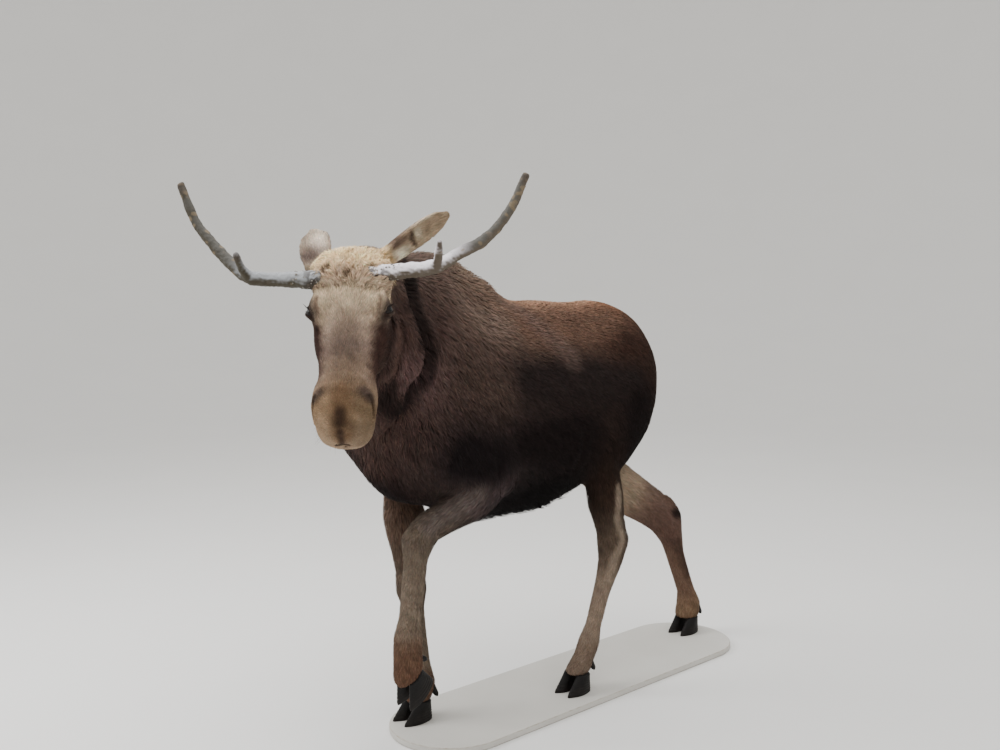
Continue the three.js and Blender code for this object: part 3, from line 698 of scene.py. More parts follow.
# the hollow between the jaw and the neck, pressed in as a fold and painted dark as shade
THROAT = [(1.3, 0.27, 1.7), (1.28, 0.3, 1.61), (1.245, 0.31, 1.52), (1.2, 0.285, 1.45), (1.2, 0.277, 1.38),
          (1.255, 0.275, 1.33), (1.3, 0.27, 1.28)]

# each mark's path, width, fade, colour and strength; those of the head are in millimetres of its frame
MUZZLE_MARKS = (
    ([(500, 0, -2), (530, 0, -4), (600, 0, -50)], 0.012, 0.034, (0.13, 0.076, 0.042), 0.8),
    ([(556, -2, -10), (580, -3, -24)], 0.004, 0.024, (0.03, 0.017, 0.013), 0.85),
    ([(596, -4, -46), (608, -5, -80)], 0.003, 0.014, (0.035, 0.02, 0.015), 0.85),
    ([(613, -22, -94), (613, -6, -90), (612, 10, -96)], 0.003, 0.007, (0.02, 0.013, 0.011), 0.9),
)
BODY_MARKS = (
    # the throat under the jaw: partly its own dark hair, partly painted shade
    ([(1.38, 0.3, 1.34), (1.34, 0.27, 1.24)], 0.02, 0.05, (0.009, 0.006, 0.0055), 0.85),
    ([(-0.62, -0.07, 0.58), (-0.57, -0.07, 0.59)], 0.02, 0.03, BLACK_BROWN, 0.9),
    ([(-0.56, -0.05, 0.47), (-0.64, -0.04, 0.3)], 0.012, 0.03, (0.03, 0.018, 0.014), 0.8),
    ([(0.93, 0.26, 0.93), (1.1, 0.21, 0.84)], 0.018, 0.05, (0.12, 0.095, 0.085), 0.7),
    # painted shade in the hollow between the jaw and the neck
    (THROAT, 0.018, 0.045, (0.006, 0.0045, 0.0045), 0.88),
    ([(0.7, 0.05, 1.64), (0.605, 0.109, 1.557), (0.537, 0.181, 1.47), (0.463, 0.225, 1.397)],
     0.012, 0.07, (0.11, 0.074, 0.062), 0.5),
    ([(0.145, 0.215, 0.85), (0.13, 0.204, 0.723), (0.08, 0.182, 0.628), (0.11, 0.18, 0.55),
      (0.127, 0.164, 0.46)],
     0.010, 0.026, (0.26, 0.2, 0.15), 0.8),
)
FACE_MARKS = (  # on both sides
    # painted shade inside the hollowed nostrils
    (NOSTRIL, 0.001, 0.008, (0.02, 0.011, 0.009), 0.9),
    ([(492, 62, -8), (504, 76, -22)], 0.006, 0.024, (0.055, 0.038, 0.032), 0.85),
    # painted shade along the mouth's crease
    (MOUTH, 0.002, 0.009, (0.03, 0.02, 0.016), 0.85),
    ([(234, 108, -42), (262, 100, -50), (276, 90, -58)], 0.004, 0.011, (0.04, 0.022, 0.017), 0.85),
    ([(268, 97, -56), (274, 94, -58)], 0.003, 0.006, (0.008, 0.006, 0.006), 0.95),
    ([(262, 84, -36), (284, 80, -44)], 0.0015, 0.005, (0.42, 0.33, 0.26), 0.8),
    # painted shade in the crease under the brow
    ([(184, 92, -18), (206, 92, -22), (226, 86, -26), (250, 80, -30)], 0.003, 0.008, (0.1, 0.055, 0.042),
     0.65),
)
RIM_MARK = (0.0022, 0.0045, (0.012, 0.008, 0.008), 0.97)
# painted shade: a dark line in each crease of the crown's pad
CROWN_CREASE_SHADE = (0.003, 0.009, (0.06, 0.036, 0.022), 0.88)
CROWN_MARKS = ([(113, -72, -5), (100, -54, 0)], [(138, -4, 5), (121, 6, 5)], [(93, 56, -5), (118, 68, -10)])


def all_marks() -> list[Mark]:
    """Every marking of the coat. Later ones lie over earlier ones."""
    marks = [Mark(HEAD.place_mm(path), *look) for path, *look in MUZZLE_MARKS]
    marks += [Mark(body_path(path), *look) for path, *look in BODY_MARKS]
    marks += [Mark(side, *look) for path, *look in FACE_MARKS for side in mirrored(path)]
    marks += [Mark(eye_rim(side), *RIM_MARK) for side in SIDES.values()]
    return marks + [Mark(HEAD.place_mm(path), *CROWN_CREASE_SHADE) for path in CROWN_MARKS]


FACE_TONES = (  # how far down the face, in millimetres, and the hair's colour there
    (0, (0.64, 0.485, 0.29)), (60, (0.87, 0.65, 0.37)), (118, (0.53, 0.39, 0.27)),
    (146, (0.54, 0.405, 0.285)),
    (160, (0.58, 0.45, 0.305)), (205, (0.5, 0.39, 0.27)), (240, (0.34, 0.26, 0.186)),
    (280, (0.225, 0.165, 0.125)),
    (350, (0.14, 0.1, 0.08)), (420, (0.17, 0.118, 0.084)), (490, (0.19, 0.126, 0.08)),
    (540, (0.25, 0.168, 0.1)),
    (640, (0.31, 0.225, 0.155)),
)
# across the forehead and down the face, in millimetres: the woolly pad's lower edge, and the pale face's side
PAD_EDGE = ((-118, 148), (-84, 146), (-30, 148), (37, 156), (81, 157), (129, 144))
FACE_EDGE = ((0, 118), (150, 116), (225, 96), (270, 76), (330, 68), (440, 64), (485, 84), (520, 100),
             (640, 110))


def face_tone(points: Array, light: float) -> tuple[Array, Array]:
    """The colour of the front of the face, and how much of it shows at each point.

    Args:
        points: places in the row's frame.
        light: the share of the full tone, which is less at the hair's roots.
    Returns:
        The colours, and their shares from 0 to 1.
    """
    x, y, z = HEAD.local(points).T / MM
    x = x + 12 * noise(points, 0.03, 93)
    stops = [stop for stop, _ in FACE_TONES]
    tone = np.stack([np.interp(x, stops, [colour[c] for _, colour in FACE_TONES]) for c in range(3)],
                    axis=1)
    edge = np.interp(x, *np.array(FACE_EDGE).T) + 6 * noise(points, 0.05, 91)
    low = np.interp(x, [0, 150, 250, 450, 520], [-150, -110, -92, -100, -170])
    rise = smooth(np.abs(y), 18, 62) * smooth(x, 215, 260) * (1 - smooth(x, 380, 470))
    turned = 1 - 0.3 * np.clip(y / 60, -1, 1) * smooth(x, 420, 500)  # painted light and shade: the muzzle is painted paler on its right and darker on its left
    below = x - np.interp(y, *np.array(PAD_EDGE).T)
    # painted shade: the pad is painted darker and lighter in patches for its curls, and darker in a band just
    # below its overhanging edge
    pad_shade = 1 + 0.3 * noise(points, 0.016, 94) * (below < 0) - 0.45 * np.exp(-((below - 1) / 4.5) ** 2)
    tone = tone * ((1 + 0.5 * rise) * turned * pad_shade)[:, None]
    share = (1 - smooth(np.abs(y), edge - 22, edge + 12)) * smooth(z, low - 16, low + 16)
    share = share * smooth(x, -40, 10)
    return tone * light, share * (x < 680) * (np.abs(y) < 150)


@dataclass(frozen=True)
class EarTone:
    """A patch of colour inside an ear, placed by shares of the ear's length and width."""

    along: float
    across: float
    reach: tuple[float, float]
    colour: tuple[float, float, float]
    strength: float = 0.85


EAR_BACK = (0.2, 0.15, 0.105)
EAR_TONES = {
    "right": ((0.33, 0.26, 0.2), (
        EarTone(0.78, 0.2, (0.34, 0.6), (0.72, 0.61, 0.5), 0.95),
        # painted shade deep in the right ear's cup
        EarTone(0.42, -0.4, (0.25, 0.85), (0.1, 0.07, 0.06), 0.94),
        EarTone(0.18, 0.3, (0.17, 0.6), (0.55, 0.44, 0.3), 0.9),
        EarTone(0.9, -0.95, (0.3, 0.22), (0.34, 0.28, 0.22), 0.8),
        EarTone(0.75, 1.0, (0.3, 0.2), (0.1, 0.07, 0.055), 0.9))),
    "left": ((0.4, 0.3, 0.2), (
        EarTone(0.85, -0.95, (0.35, 0.22), (0.6, 0.5, 0.38), 0.85),
        # painted shade deep in the left ear's cup
        EarTone(0.26, -0.5, (0.2, 0.75), (0.15, 0.1, 0.076), 0.95),
        EarTone(0.54, 0.0, (0.05, 0.6), (0.62, 0.54, 0.4), 0.85),
        # pale inner hair, partly painted light: painted brighter to make up for the shade of the antler and the
        # crown's wool
        EarTone(0.2, 0.6, (0.15, 0.42), (0.95, 0.86, 0.66), 0.97),
        # painted shade in the fold at the mouth of the left ear's cup, next to the pale strip
        EarTone(0.475, -0.25, (0.026, 0.55), (0.035, 0.021, 0.017), 0.93),
        EarTone(0.44, 0.35, (0.028, 0.55), (0.035, 0.021, 0.017), 0.93),
        EarTone(0.68, 0.1, (0.05, 0.6), (0.24, 0.175, 0.115), 0.6))),
}
EAR_HALF = 0.056  # half an ear's width at its widest


def ear_place(plan: EarPlan, points: Array) -> tuple[Array, Array, Array]:
    """Places on an ear: the share along it, the share across it, and how far inside its cup, in metres."""
    root, tip = CROWN.place_mm((plan.root, plan.tip))
    long = np.linalg.norm(tip - root)
    axis = (tip - root) / long
    facing = CROWN.turn(np.array(plan.opening))
    out = unit(facing - (facing @ axis) * axis)
    across = np.cross(axis, out)
    local = points - root
    t = (local @ axis) / long
    v = (local @ across) / EAR_HALF
    cup = 0.036 - 0.026 * np.clip(t, 0, 1)
    return t, v, local @ out - 0.016 * t * t + cup * np.sqrt(np.clip(1 - v * v, 0, 1))


class Markings:
    """Colours every point of the coat, the same way on skin and hair."""

    def __init__(self) -> None:
        """Prepares the marks."""
        self.marks = all_marks()

    def on_ears(self, points: Array, out: Array, light: float) -> None:
        """Colours the ears' backs, insides and rims."""
        for side, plan in EARS.items():
            t, v, inside = ear_place(plan, points)
            here = (t > 0.08) & (t < 1.1) & (np.abs(v) < 1.3) & (np.abs(inside) < 0.03)
            t, v, inside = t[here], v[here], inside[here]
            ground, tones = EAR_TONES[side]
            streak = 1 + 0.22 * noise(np.stack([t * 0.06, v * 0.5, v * 0.3], axis=1), 0.05, 92)
            colour = np.array(ground) * streak[:, None]
            for tone in tones:
                far = ((t - tone.along) / tone.reach[0]) ** 2 + ((v - tone.across) / tone.reach[1]) ** 2
                colour += (tone.strength * np.exp(-far ** 1.5))[:, None] * (np.array(tone.colour) - colour)
            back = (1 - smooth(inside, -0.004, 0.003))[:, None]
            colour += back * (np.array(EAR_BACK) - colour)
            share = smooth(t, 0.1, 0.22)[:, None]
            out[here] += share * (colour * light - out[here])

    def over(self, points: Array, colour: Array, light: float = 1.0) -> Array:
        """Lays the face's tones, the ears' and the marks over a colour for each point."""
        out = colour.copy()
        tone, share = face_tone(points, light)
        out += share[:, None] * (tone - out)
        self.on_ears(points, out, light)
        for mark in self.marks:
            d, _ = distance_to_path(points, mark.path, mark.width + mark.fade)
            w = (mark.strength * (1 - smooth(d, mark.width, mark.width + mark.fade)))[:, None]
            out += w * (np.array(mark.colour) - out)
        return out


# ---------------------------------------------------------------- the skin

FLESH = sorted(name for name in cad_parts
               if name.split("_")[0] in ("trunk", "neck", "head", "tail", "ear", "leg"))


@dataclass(frozen=True)
class Groove:
    """A fold pressed into the skin along a path, with a low swelling on either side. Sizes are in metres."""

    path: Array
    depth: float
    width: float
    swell: float = 0.35

    def push(self, points: Array) -> Array:
        """How far each point moves out of the skin."""
        d, share = distance_to_path(points, self.path, 3 * self.width)
        ends = smooth(share, -0.01, 0.18) * (1 - smooth(share, 0.82, 1.01)) * 0.8 + 0.2
        x = d / self.width
        return self.depth * ends * (-np.exp(-x * x * 2) + self.swell * np.exp(-(x - 1.5) ** 2 * 3))


BODY_FOLDS = (  # each fold's path, depth and width
    ([(1.25, 0.33, 1.56), (1.21, 0.3, 1.45), (1.2, 0.28, 1.36), (1.28, 0.23, 1.22), (1.27, 0.08, 1.12)],
     0.016, 0.03),
    ([(0.86, 0.27, 1.3), (0.84, 0.27, 1.15), (0.85, 0.26, 0.98), (0.78, 0.2, 0.86)], 0.012, 0.028),
    ([(0.86, -0.27, 1.25), (0.85, -0.27, 1.05), (0.85, -0.22, 0.88)], 0.012, 0.028),
    ([(0.41, 0.26, 1.1), (0.385, 0.25, 1.02), (0.41, 0.21, 0.93)], 0.012, 0.024),
    ([(0.2, -0.25, 1.15), (0.16, -0.22, 1.0), (0.2, -0.17, 0.9)], 0.012, 0.024),
    ([(1.1, 0.3, 1.62), (1.06, 0.3, 1.48), (1.08, 0.3, 1.36)], 0.007, 0.035),
    ([(1.04, 0.24, 0.96), (1.12, 0.2, 0.94), (1.2, 0.1, 0.95)], 0.012, 0.028),
)
CROWN_FOLDS = ([(116, -78, -8), (98, -50, 4)], [(142, -8, 6), (118, 10, 8)], [(90, 54, 0), (120, 72, -8)])
FACE_FOLDS = (  # under the brow, and below the cheekbone
    [(196, 92, -22), (226, 88, -26), (258, 84, -34)],
    [(300, 66, -60), (380, 58, -64), (440, 58, -62)],
)


def folds() -> list[Groove]:
    """The folds of the neck, elbow, flank and legs, and the creases of the head."""
    grooves = [Groove(body_path(path), depth, width) for path, depth, width in BODY_FOLDS]
    back = way(-0.006, 0, 0)
    for plan in LEGS.values():
        _, middle, lower, fetlock = body_path(plan.joints)
        for s in SIDES.values():
            side = way(0, s * 0.042, 0)
            cannon = [lower + t * (fetlock - lower) + side + back for t in (0.16, 0.5, 0.9)]
            grooves.append(Groove(np.array(cannon), 0.0045, 0.011))
            gaskin = [middle + t * (lower - middle) + 1.2 * side + 3 * back for t in (0.5, 0.9)]
            grooves.append(Groove(np.array(gaskin), 0.005, 0.016))
    grooves += [Groove(HEAD.place_mm(path), 0.008, 0.009) for path in CROWN_FOLDS]
    grooves.append(Groove(body_path(THROAT), 0.028, 0.032))
    return grooves + [Groove(side, 0.004, 0.008) for path in FACE_FOLDS for side in mirrored(path)]


# each patch's rounds of relaxing: those that round its form off, and those that keep its size
RELAXING = {Patch.BODY: (60, 0), Patch.NECK: (60, 0), Patch.LEGS: (16, 6), Patch.HEAD: (2, 20),
            Patch.EARS: (1, 8), Patch.TAIL: (20, 0)}


@dataclass
class Skin:
    """The one skin under the coat. Sizes are in metres."""

    voxel: float = 0.005
    lid: float = 0.0028  # thickness of an eyelid
    inset: float = 0.82  # how deep the skin lies, as a share of the coat's depth
    short_inset: float = 0.6  # the same where the coat is short
    short: float = 0.008  # the depth that counts as short
    thin: float = 0.19  # the share of its faces that hidden skin keeps

    def build(self, coat: Coatmap) -> bpy.types.Object:
        """Makes the skin's mesh.

        Args:
            coat: the lie of the coat, whose depth the skin lies inside the solids by.
        Returns:
            The skin's object.
        """
        skin = remeshed("skin", FLESH + ["eye_left", "eye_right"], self.voxel)
        points = points_of(skin.data)
        weights = coat.weights(points)
        rounds, even = (weights @ np.array([RELAXING[lie.patch][kind] for lie in coat.lies], float)
                        for kind in (0, 1))
        edges, before, normals = edges_of(skin.data), points, normals_of(skin.data)
        points = relax(points, edges, rounds)
        lost = ((before - points) * normals).sum(axis=1, keepdims=True)
        points += relax(lost, edges, 1.5 * rounds) * normals
        points = relax(points, edges, even, 0.5, 1.06)
        move_points(skin.data, points)
        depth = (weights @ coat.column("depth") * MM)[:, None]
        inward = -normals_of(skin.data) * np.where(depth > self.short, self.inset, self.short_inset) * depth
        points += self.above_hooves(points, inward)
        points += normals_of(skin.data) * sum(groove.push(points) for groove in folds())[:, None]
        move_points(skin.data, points)
        skin = self.thinned(skin, coat, weights)
        for reach in (0.055, 0.03):
            self.refine(skin, self.face_detail(points_of(skin.data), reach))
        self.shape_face(skin)
        return skin

    def thinned(self, skin: bpy.types.Object, coat: Coatmap, weights: Array) -> bpy.types.Object:
        """Takes faces away where the coat hides the skin, and keeps those of the head and ears."""
        fine = np.isin([lie.patch for lie in coat.lies], (Patch.HEAD, Patch.EARS))
        kept = (weights @ fine.astype(float)) > 0.5
        group = skin.vertex_groups.new(name="thin")
        group.add(np.flatnonzero(~kept).tolist(), 1.0, "REPLACE")
        modifier = skin.modifiers.new("Thin", "DECIMATE")
        modifier.vertex_group = "thin"
        modifier.ratio = self.thin + (1 - self.thin) * kept.mean()
        return evaluated(skin, "skin")

    def above_hooves(self, points: Array, shift: Array) -> Array:
        """Keeps the lower end of each leg on its hoof while the skin shrinks."""
        for plan in LEGS.values():
            foot = foot_axes(plan)
            local = foot.local(points)
            low = round_foot(local, 0.07, 0.11)
            flat = foot.rows[2]
            shift[low] -= (shift[low] @ flat)[:, None] * flat
        return shift

    def face_detail(self, points: Array, reach: float) -> Array:
        """Marks the points near the eyes, nostrils and mouth, where the mesh has to be finer."""
        near = np.zeros(len(points), bool)
        for path in mirrored([EYE_AT_MM]) + mirrored(NOSTRIL):
            near |= distance_to_path(points, path, reach)[0] < reach
        for path in mirrored(MOUTH):
            near |= distance_to_path(points, path, reach)[0] < reach * 0.5
        return near

    def refine(self, skin: bpy.types.Object, marked: Array) -> None:
        """Splits the faces whose corners are all marked."""
        mesh = bmesh.new()
        mesh.from_mesh(skin.data)
        mesh.verts.ensure_lookup_table()
        edges = [e for e in mesh.edges if marked[e.verts[0].index] and marked[e.verts[1].index]]
        bmesh.ops.subdivide_edges(mesh, edges=edges, cuts=1, use_grid_fill=True)
        mesh.to_mesh(skin.data)
        mesh.free()

    def shape_face(self, skin: bpy.types.Object) -> None:
        """Opens the eyes between their lids, and hollows the nostrils and the mouth's line."""
        points, normals = points_of(skin.data), normals_of(skin.data)
        for path in mirrored(NOSTRIL):
            d, share = distance_to_path(points, path, 0.04)
            size = 0.0055 + 0.002 * share
            dent = (1 - smooth(d, 0.2 * size, size)) * (0.008 + 0.005 * share)
            rim = np.exp(-((d - 1.7 * size) / (0.7 * size)) ** 2) * 0.0035
            points += normals * (rim - dent)[:, None]
        for path in mirrored(MOUTH):
            points += normals * Groove(path, 0.009, 0.006, 0.4).push(points)[:, None]
        points = points + normals * self.wool_pad(points)[:, None]
        for side in SIDES.values():
            points = self.open_eye(points, eye_axes(side))
        move_points(skin.data, points)

    def wool_pad(self, points: Array) -> Array:
        """How far the lumpy pad of the crown stands out, down to its sharp edge across the forehead."""
        x, y, z = HEAD.local(points).T
        edge = np.interp(y / MM, *np.array(PAD_EDGE).T) * MM
        pad = smooth(edge - x, -0.004, 0.006) * smooth(x, 0.0, 0.05) * smooth(z, -0.13, -0.05)
        pad = pad * (np.abs(y) < 0.15)
        return pad * (0.008 + 0.004 * noise(points, 0.045, 45) + 0.0035 * noise(points, 0.02, 46))

    def open_eye(self, points: Array, eye: Axes) -> Array:
        """Wraps the lids over an eyeball and sinks the skin inside the opening behind it."""
        local = eye.local(points)
        far = np.linalg.norm(local, axis=1)
        along, up = local[:, 0], local[:, 1]
        long, above, below = EYE_OPENING
        half = np.where(up > 0, above, below) * np.sqrt(np.clip(1 - (along / long) ** 2, 0, 1))
        past_corner = np.hypot(np.abs(along) - long, up)
        beyond = np.where(np.abs(along) < long, np.abs(up) - half, past_corner)
        facing = local[:, 2] > -0.004
        crease = 0.0024 * np.exp(-((beyond - 0.0085) / 0.002) ** 2) * (1 + 0.5 * (up > 0))
        lid = EYE_RADIUS + self.lid + 0.001 * np.exp(-((beyond - 0.002) / 0.002) ** 2) - crease
        target = np.where(beyond < 0, EYE_RADIUS - 0.006, lid)
        held = np.where(beyond < 0, 1, 1 - smooth(beyond, 0.004, 0.020)) * (facing & (far < 0.05))
        moved = local * (target / np.maximum(far, 1e-6))[:, None]
        return eye.place(local + held[:, None] * (moved - local))


# ---------------------------------------------------------------- the coat

@dataclass(frozen=True)
class Weave:
    """How closely one patch of the coat is set, and how its tufts are cut."""

    cover: float  # how many times the tufts' area covers the skin
    stations: int  # points along a tuft
    wander: float  # how far a tuft strays from the lie, in radians
    clump: float  # how far tips draw together, as a share of the length
    curl: float = 1.2  # how far hair that stands out turns aside, in radians


@dataclass
class Coat:
    """The hair, in tufts that follow the lie of the coat."""

    seed: int = 11
    most_faces: int = 190_000
    quick_share: float = 0.25
    taper: float = 0.7  # a tuft's area, as a share of its length times its width
    sunk: float = 0.0015  # how deep the roots sit under the skin
    weaves: dict = field(default_factory=lambda: {
        Patch.BODY: Weave(7.0, 4, 0.12, 0.1),
        Patch.NECK: Weave(9.0, 4, 0.16, 0.14),
        Patch.LEGS: Weave(3.6, 3, 0.1, 0.06),
        Patch.HEAD: Weave(4.4, 3, 0.12, 0.06, 5.5),
        Patch.EARS: Weave(4, 3, 0.16, 0.08),
        Patch.TAIL: Weave(8, 4, 0.14, 0.12),
    })

    def build(self, skin: bpy.types.Object, coat: Coatmap, marks: Markings) -> list[bpy.types.Object]:
        """Sets tufts all over the skin.

        Args:
            skin: the finished skin.
            coat: the lie of the coat.
            marks: its markings.
        Returns:
            The coat's pieces.
        """
        rng = np.random.default_rng(self.seed)
        points, tri = points_of(skin.data), triangles_of(skin.data)
        normals = normals_of(skin.data)
        tree = tree_of(skin.data)
        corners = points[tri]
        middle = corners.mean(axis=1)
        a, b, c = corners.transpose(1, 0, 2)
        area = np.linalg.norm(np.cross(b - a, c - a), axis=1) / 2
        growth = grown(coat, middle)
        cover = np.array([self.weaves[p].cover for p in Patch])[growth.patch]
        density = area * cover / (growth.length * growth.width * self.taper) * haired(middle)
        density *= 1
        total = np.cumsum(density)
        count = int(total[-1])
        chosen = np.minimum(np.searchsorted(total, np.arange(count) + rng.random(count)), len(tri) - 1)
        a, b = rng.random((2, count))
        flip = a + b > 1
        a[flip], b[flip] = 1 - a[flip], 1 - b[flip]
        share = np.stack([1 - a - b, a, b], axis=1)[:, :, None]
        roots = (corners[chosen] * share).sum(axis=1)
        facing = unit((normals[tri[chosen]] * share).sum(axis=1))
        here = grown(coat, roots)
        pieces = []
        for number, patch in enumerate(Patch):
            picked = np.flatnonzero(here.patch == number)
            if len(picked) == 0:
                continue
            spread = unwrap(patch, roots[picked])
            order = np.argsort(spread[:, 0])
            picked, spread = picked[order], spread[order]
            faces = 2 * self.weaves[patch].stations - 3
            parts = max(1, math.ceil(len(picked) * faces / self.most_faces))
            shares = zip(np.array_split(picked, parts), np.array_split(spread, parts))
            for part, (rows, uv) in enumerate(shares):
                name = f"coat_{patch.value}_{part + 1}" if parts > 1 else f"coat_{patch.value}"
                there = Growth(*(values[rows] for values in vars(here).values()))
                pieces.append(self.tufts(name, tree, roots[rows], facing[rows], there, self.weaves[patch],
                                         uv, marks, rng))
        return pieces

    def tufts(self, name: str, tree: BVHTree, roots: Array, facing: Array, growth: Growth, weave: Weave,
              spread: Array,
              marks: Markings, rng: np.random.Generator) -> bpy.types.Object:
        """Makes one piece of the coat.

        Args:
            name: the piece's name.
            tree: the skin, to keep each tuft lying along it.
            roots: where the tufts grow.
            facing: the skin's normal at each root.
            growth: the coat there.
            weave: how the tufts are cut.
            spread: each root's place on the unwrap.
            marks: the coat's markings.
            rng: the source of chance.
        Returns:
            The piece's object.
        """
        count = len(roots)
        flow = growth.flow - (growth.flow * facing).sum(axis=1, keepdims=True) * facing
        flow = unit(flow + 0.02 * rng.normal(size=flow.shape))
        stray = 1.6 * noise(roots, 0.06, 5) * (growth.lift > 0.08)
        turn = weave.wander * (0.6 * rng.normal(size=count) + stray)
        turn += growth.lift * weave.curl * noise(roots, 0.024, 8)
        across = np.cross(facing, flow)
        flow = flow * np.cos(turn)[:, None] + across * np.sin(turn)[:, None]
        length = growth.length * rng.uniform(0.65, 1.15, count)
        layer = 0.4 + 0.6 * np.sqrt(rng.random(count))
        gather = np.stack([noise(roots, 0.03, s) for s in (21, 22, 23)], axis=1)
        gather = gather * (weave.clump * length)[:, None]
        stations = np.linspace(0, 1, weave.stations)
        roll = rng.normal(0, 0.22, count)[:, None]
        wide = growth.width * rng.uniform(0.7, 1.2, count) / 2
        spine, edge = [], []
        for t in stations:
            if t == 0:
                spot, normal = roots - facing * self.sunk, facing
            else:
                aim = roots + flow * (length * t)[:, None] + gather * t * t
                spot, normal = nearest(tree, aim + facing * 0.004)
                height = growth.depth * layer * min(1.0, 1.5 * t) * 0.9
                height = height + length * growth.lift * layer * t ** 1.5 * 0.45
                spot = spot + normal * height[:, None]
            spine.append(spot)
            edge.append(normal)
        out, tints, uvs = [], [], []
        shade = np.exp(rng.normal(0, 0.16, count) + 0.16 * noise(roots, 0.05, 31))[:, None]
        warm = 1 + rng.normal(0, 0.06, (count, 3)) * (1, 0.4, -0.6)
        for i, t in enumerate(stations):
            ahead = unit(spine[min(i + 1, len(spine) - 1)] - spine[max(i - 1, 0)])
            side = unit(np.cross(ahead, edge[i]))
            side = side * np.cos(roll) + edge[i] * np.sin(roll)
            half = (wide * (0.7 + 1.1 * t - 1.5 * t * t))[:, None]
            blend = smooth(t, 0.0, 0.7)
            base = growth.root + blend * (growth.tip - growth.root)
            tint = np.clip(marks.over(roots, base, 0.8 + 0.28 * t) * shade * warm, 0.0015, 1)
            for s in ((-1, 1) if t < 1 else (0,)):
                out.append(spine[i] + s * half * side)
                tints.append(tint)
                uvs.append(spread + (s * 0.0015, (t - 0.5) * 0.003))
        ring = len(out)
        points = np.stack(out, axis=1).reshape(-1, 3)
        pattern = []
        for i in range(weave.stations - 2):
            k = 2 * i
            pattern += [(k, k + 1, k + 3), (k, k + 3, k + 2)]
        pattern.append((ring - 3, ring - 2, ring - 1))
        faces = (np.arange(count)[:, None, None] * ring + np.array(pattern)).reshape(-1, 3)
        obj = make_mesh(name, points, faces)
        paint(obj, "tint", np.stack(tints, axis=1).reshape(-1, 3))
        map_uv(obj, np.stack(uvs, axis=1).reshape(-1, 2))
        return obj


BLOCK = 40_000  # points worked out at a time


def grown(coat: Coatmap, points: Array) -> Growth:
    """The coat at many points, worked out a block at a time."""
    blocks = [coat.grow(block) for block in np.array_split(points, max(1, len(points) // BLOCK))]
    return Growth(*(np.concatenate([getattr(block, name) for block in blocks]) for name in vars(blocks[0])))


def nearest(tree: BVHTree, points: Array) -> tuple[Array, Array]:
    """The nearest places on a surface, and its normals there."""
    spots, normals = np.empty_like(points), np.empty_like(points)
    find = tree.find_nearest
    for i, point in enumerate(points.tolist()):
        spot, normal, _, _ = find(point)
        spots[i] = spot
        normals[i] = normal
    return spots, normals


def haired(points: Array) -> Array:
    """1 where hair grows, 0 in the eyes' openings, the nostrils, the mouth and under the hooves' edge."""
    grows = np.ones(len(points))
    for side in SIDES.values():
        local = eye_axes(side).local(points)
        rim = (local[:, 0] / 0.0205) ** 2 + (local[:, 1] / 0.0115) ** 2 < 1
        grows[rim & (local[:, 2] > 0) & (np.linalg.norm(local, axis=1) < 0.034)] = 0
    for path, bare in (NOSTRIL, 0.0045), (MOUTH, 0.003):
        for side in mirrored(path):
            grows[distance_to_path(points, side, 0.01)[0] < bare] = 0
    for plan in LEGS.values():
        grows[round_foot(foot_axes(plan).local(points), 0.06, 0.081)] = 0
    return grows


def unwrap(patch: Patch, points: Array) -> Array:
    """Each point's place on an unwrap of its part of the body, within 0.01 to 0.99.

    Trunk, neck, tail and head are unrolled round their own length. Each leg and ear has a tile of its own.
    """
    if patch in (Patch.HEAD, Patch.EARS):
        local = HEAD.local(points)
        u = (local[:, 0] + 0.28) / 0.95
        v = np.arctan2(local[:, 1], local[:, 2] + 0.09) / (2 * math.pi) + 0.5
        if patch is Patch.EARS:
            u, v = 0.5 * u + 0.5 * (local[:, 1] > 0), (np.hypot(local[:, 1], local[:, 2]) - 0.05) / 0.4
    elif patch is Patch.LEGS:
        local = points - HIPS
        feet = [at(*plan.joints[2]) for plan in LEGS.values()]
        tile = np.argmin([np.linalg.norm(points[:, :2] - foot[:2], axis=1) for foot in feet], axis=0)
        centre = np.array(feet)[tile] - HIPS
        x, y = (local - centre)[:, :2].T
        u = (tile + (np.arctan2(x, y) / (2 * math.pi) + 0.5)) / 4
        v = local[:, 2] / 1.1
    else:
        local = points - HIPS
        x, y, z = local.T
        u = (0.3 - y) / 1.95
        v = np.arctan2(x - 0.2 * smooth(-y, 1.1, 1.5), z - 1.2) / (2 * math.pi) + 0.5
    return np.clip(np.stack([u, v], axis=1), 0, 1) * 0.98 + 0.01


def coat_colour(coat: Coatmap, marks: Markings, points: Array) -> Array:
    """The skin's colour: that of the hair's roots, painted darker as shade where the coat is deep, with the
    markings.
    """
    growth = grown(coat, points)
    deep = smooth(growth.depth, 0.004, 0.014)[:, None]
    # painted shade: under deep coat the skin is painted darker than the roots; under short coat it takes some
    # of the tips' colour
    base = growth.root * (1 - 0.35 * deep) + 0.3 * (1 - deep) * (growth.tip - growth.root)
    return marks.over(points, base, 0.8)


# ---------------------------------------------------------------- finishes

class Wire:
    """A shader socket that takes part in sums."""

    def __init__(self, shader: "Shader", socket: bpy.types.NodeSocket) -> None:
        """Wraps a socket of that shader's tree."""
        self.shader = shader
        self.socket = socket

    def _math(self, operation: str, first: object, second: object) -> "Wire":
        """Adds a Math node."""
        return self.shader.node("ShaderNodeMath", {"operation": operation}, {0: first, 1: second})

    def __add__(self, other: object) -> "Wire":
        """This plus other."""
        return self._math("ADD", self, other)

    __radd__ = __add__

    def __mul__(self, other: object) -> "Wire":
        """This times other."""
        return self._math("MULTIPLY", self, other)

    __rmul__ = __mul__

    def __pow__(self, other: object) -> "Wire":
        """This to the power of other."""
        return self._math("POWER", self, other)


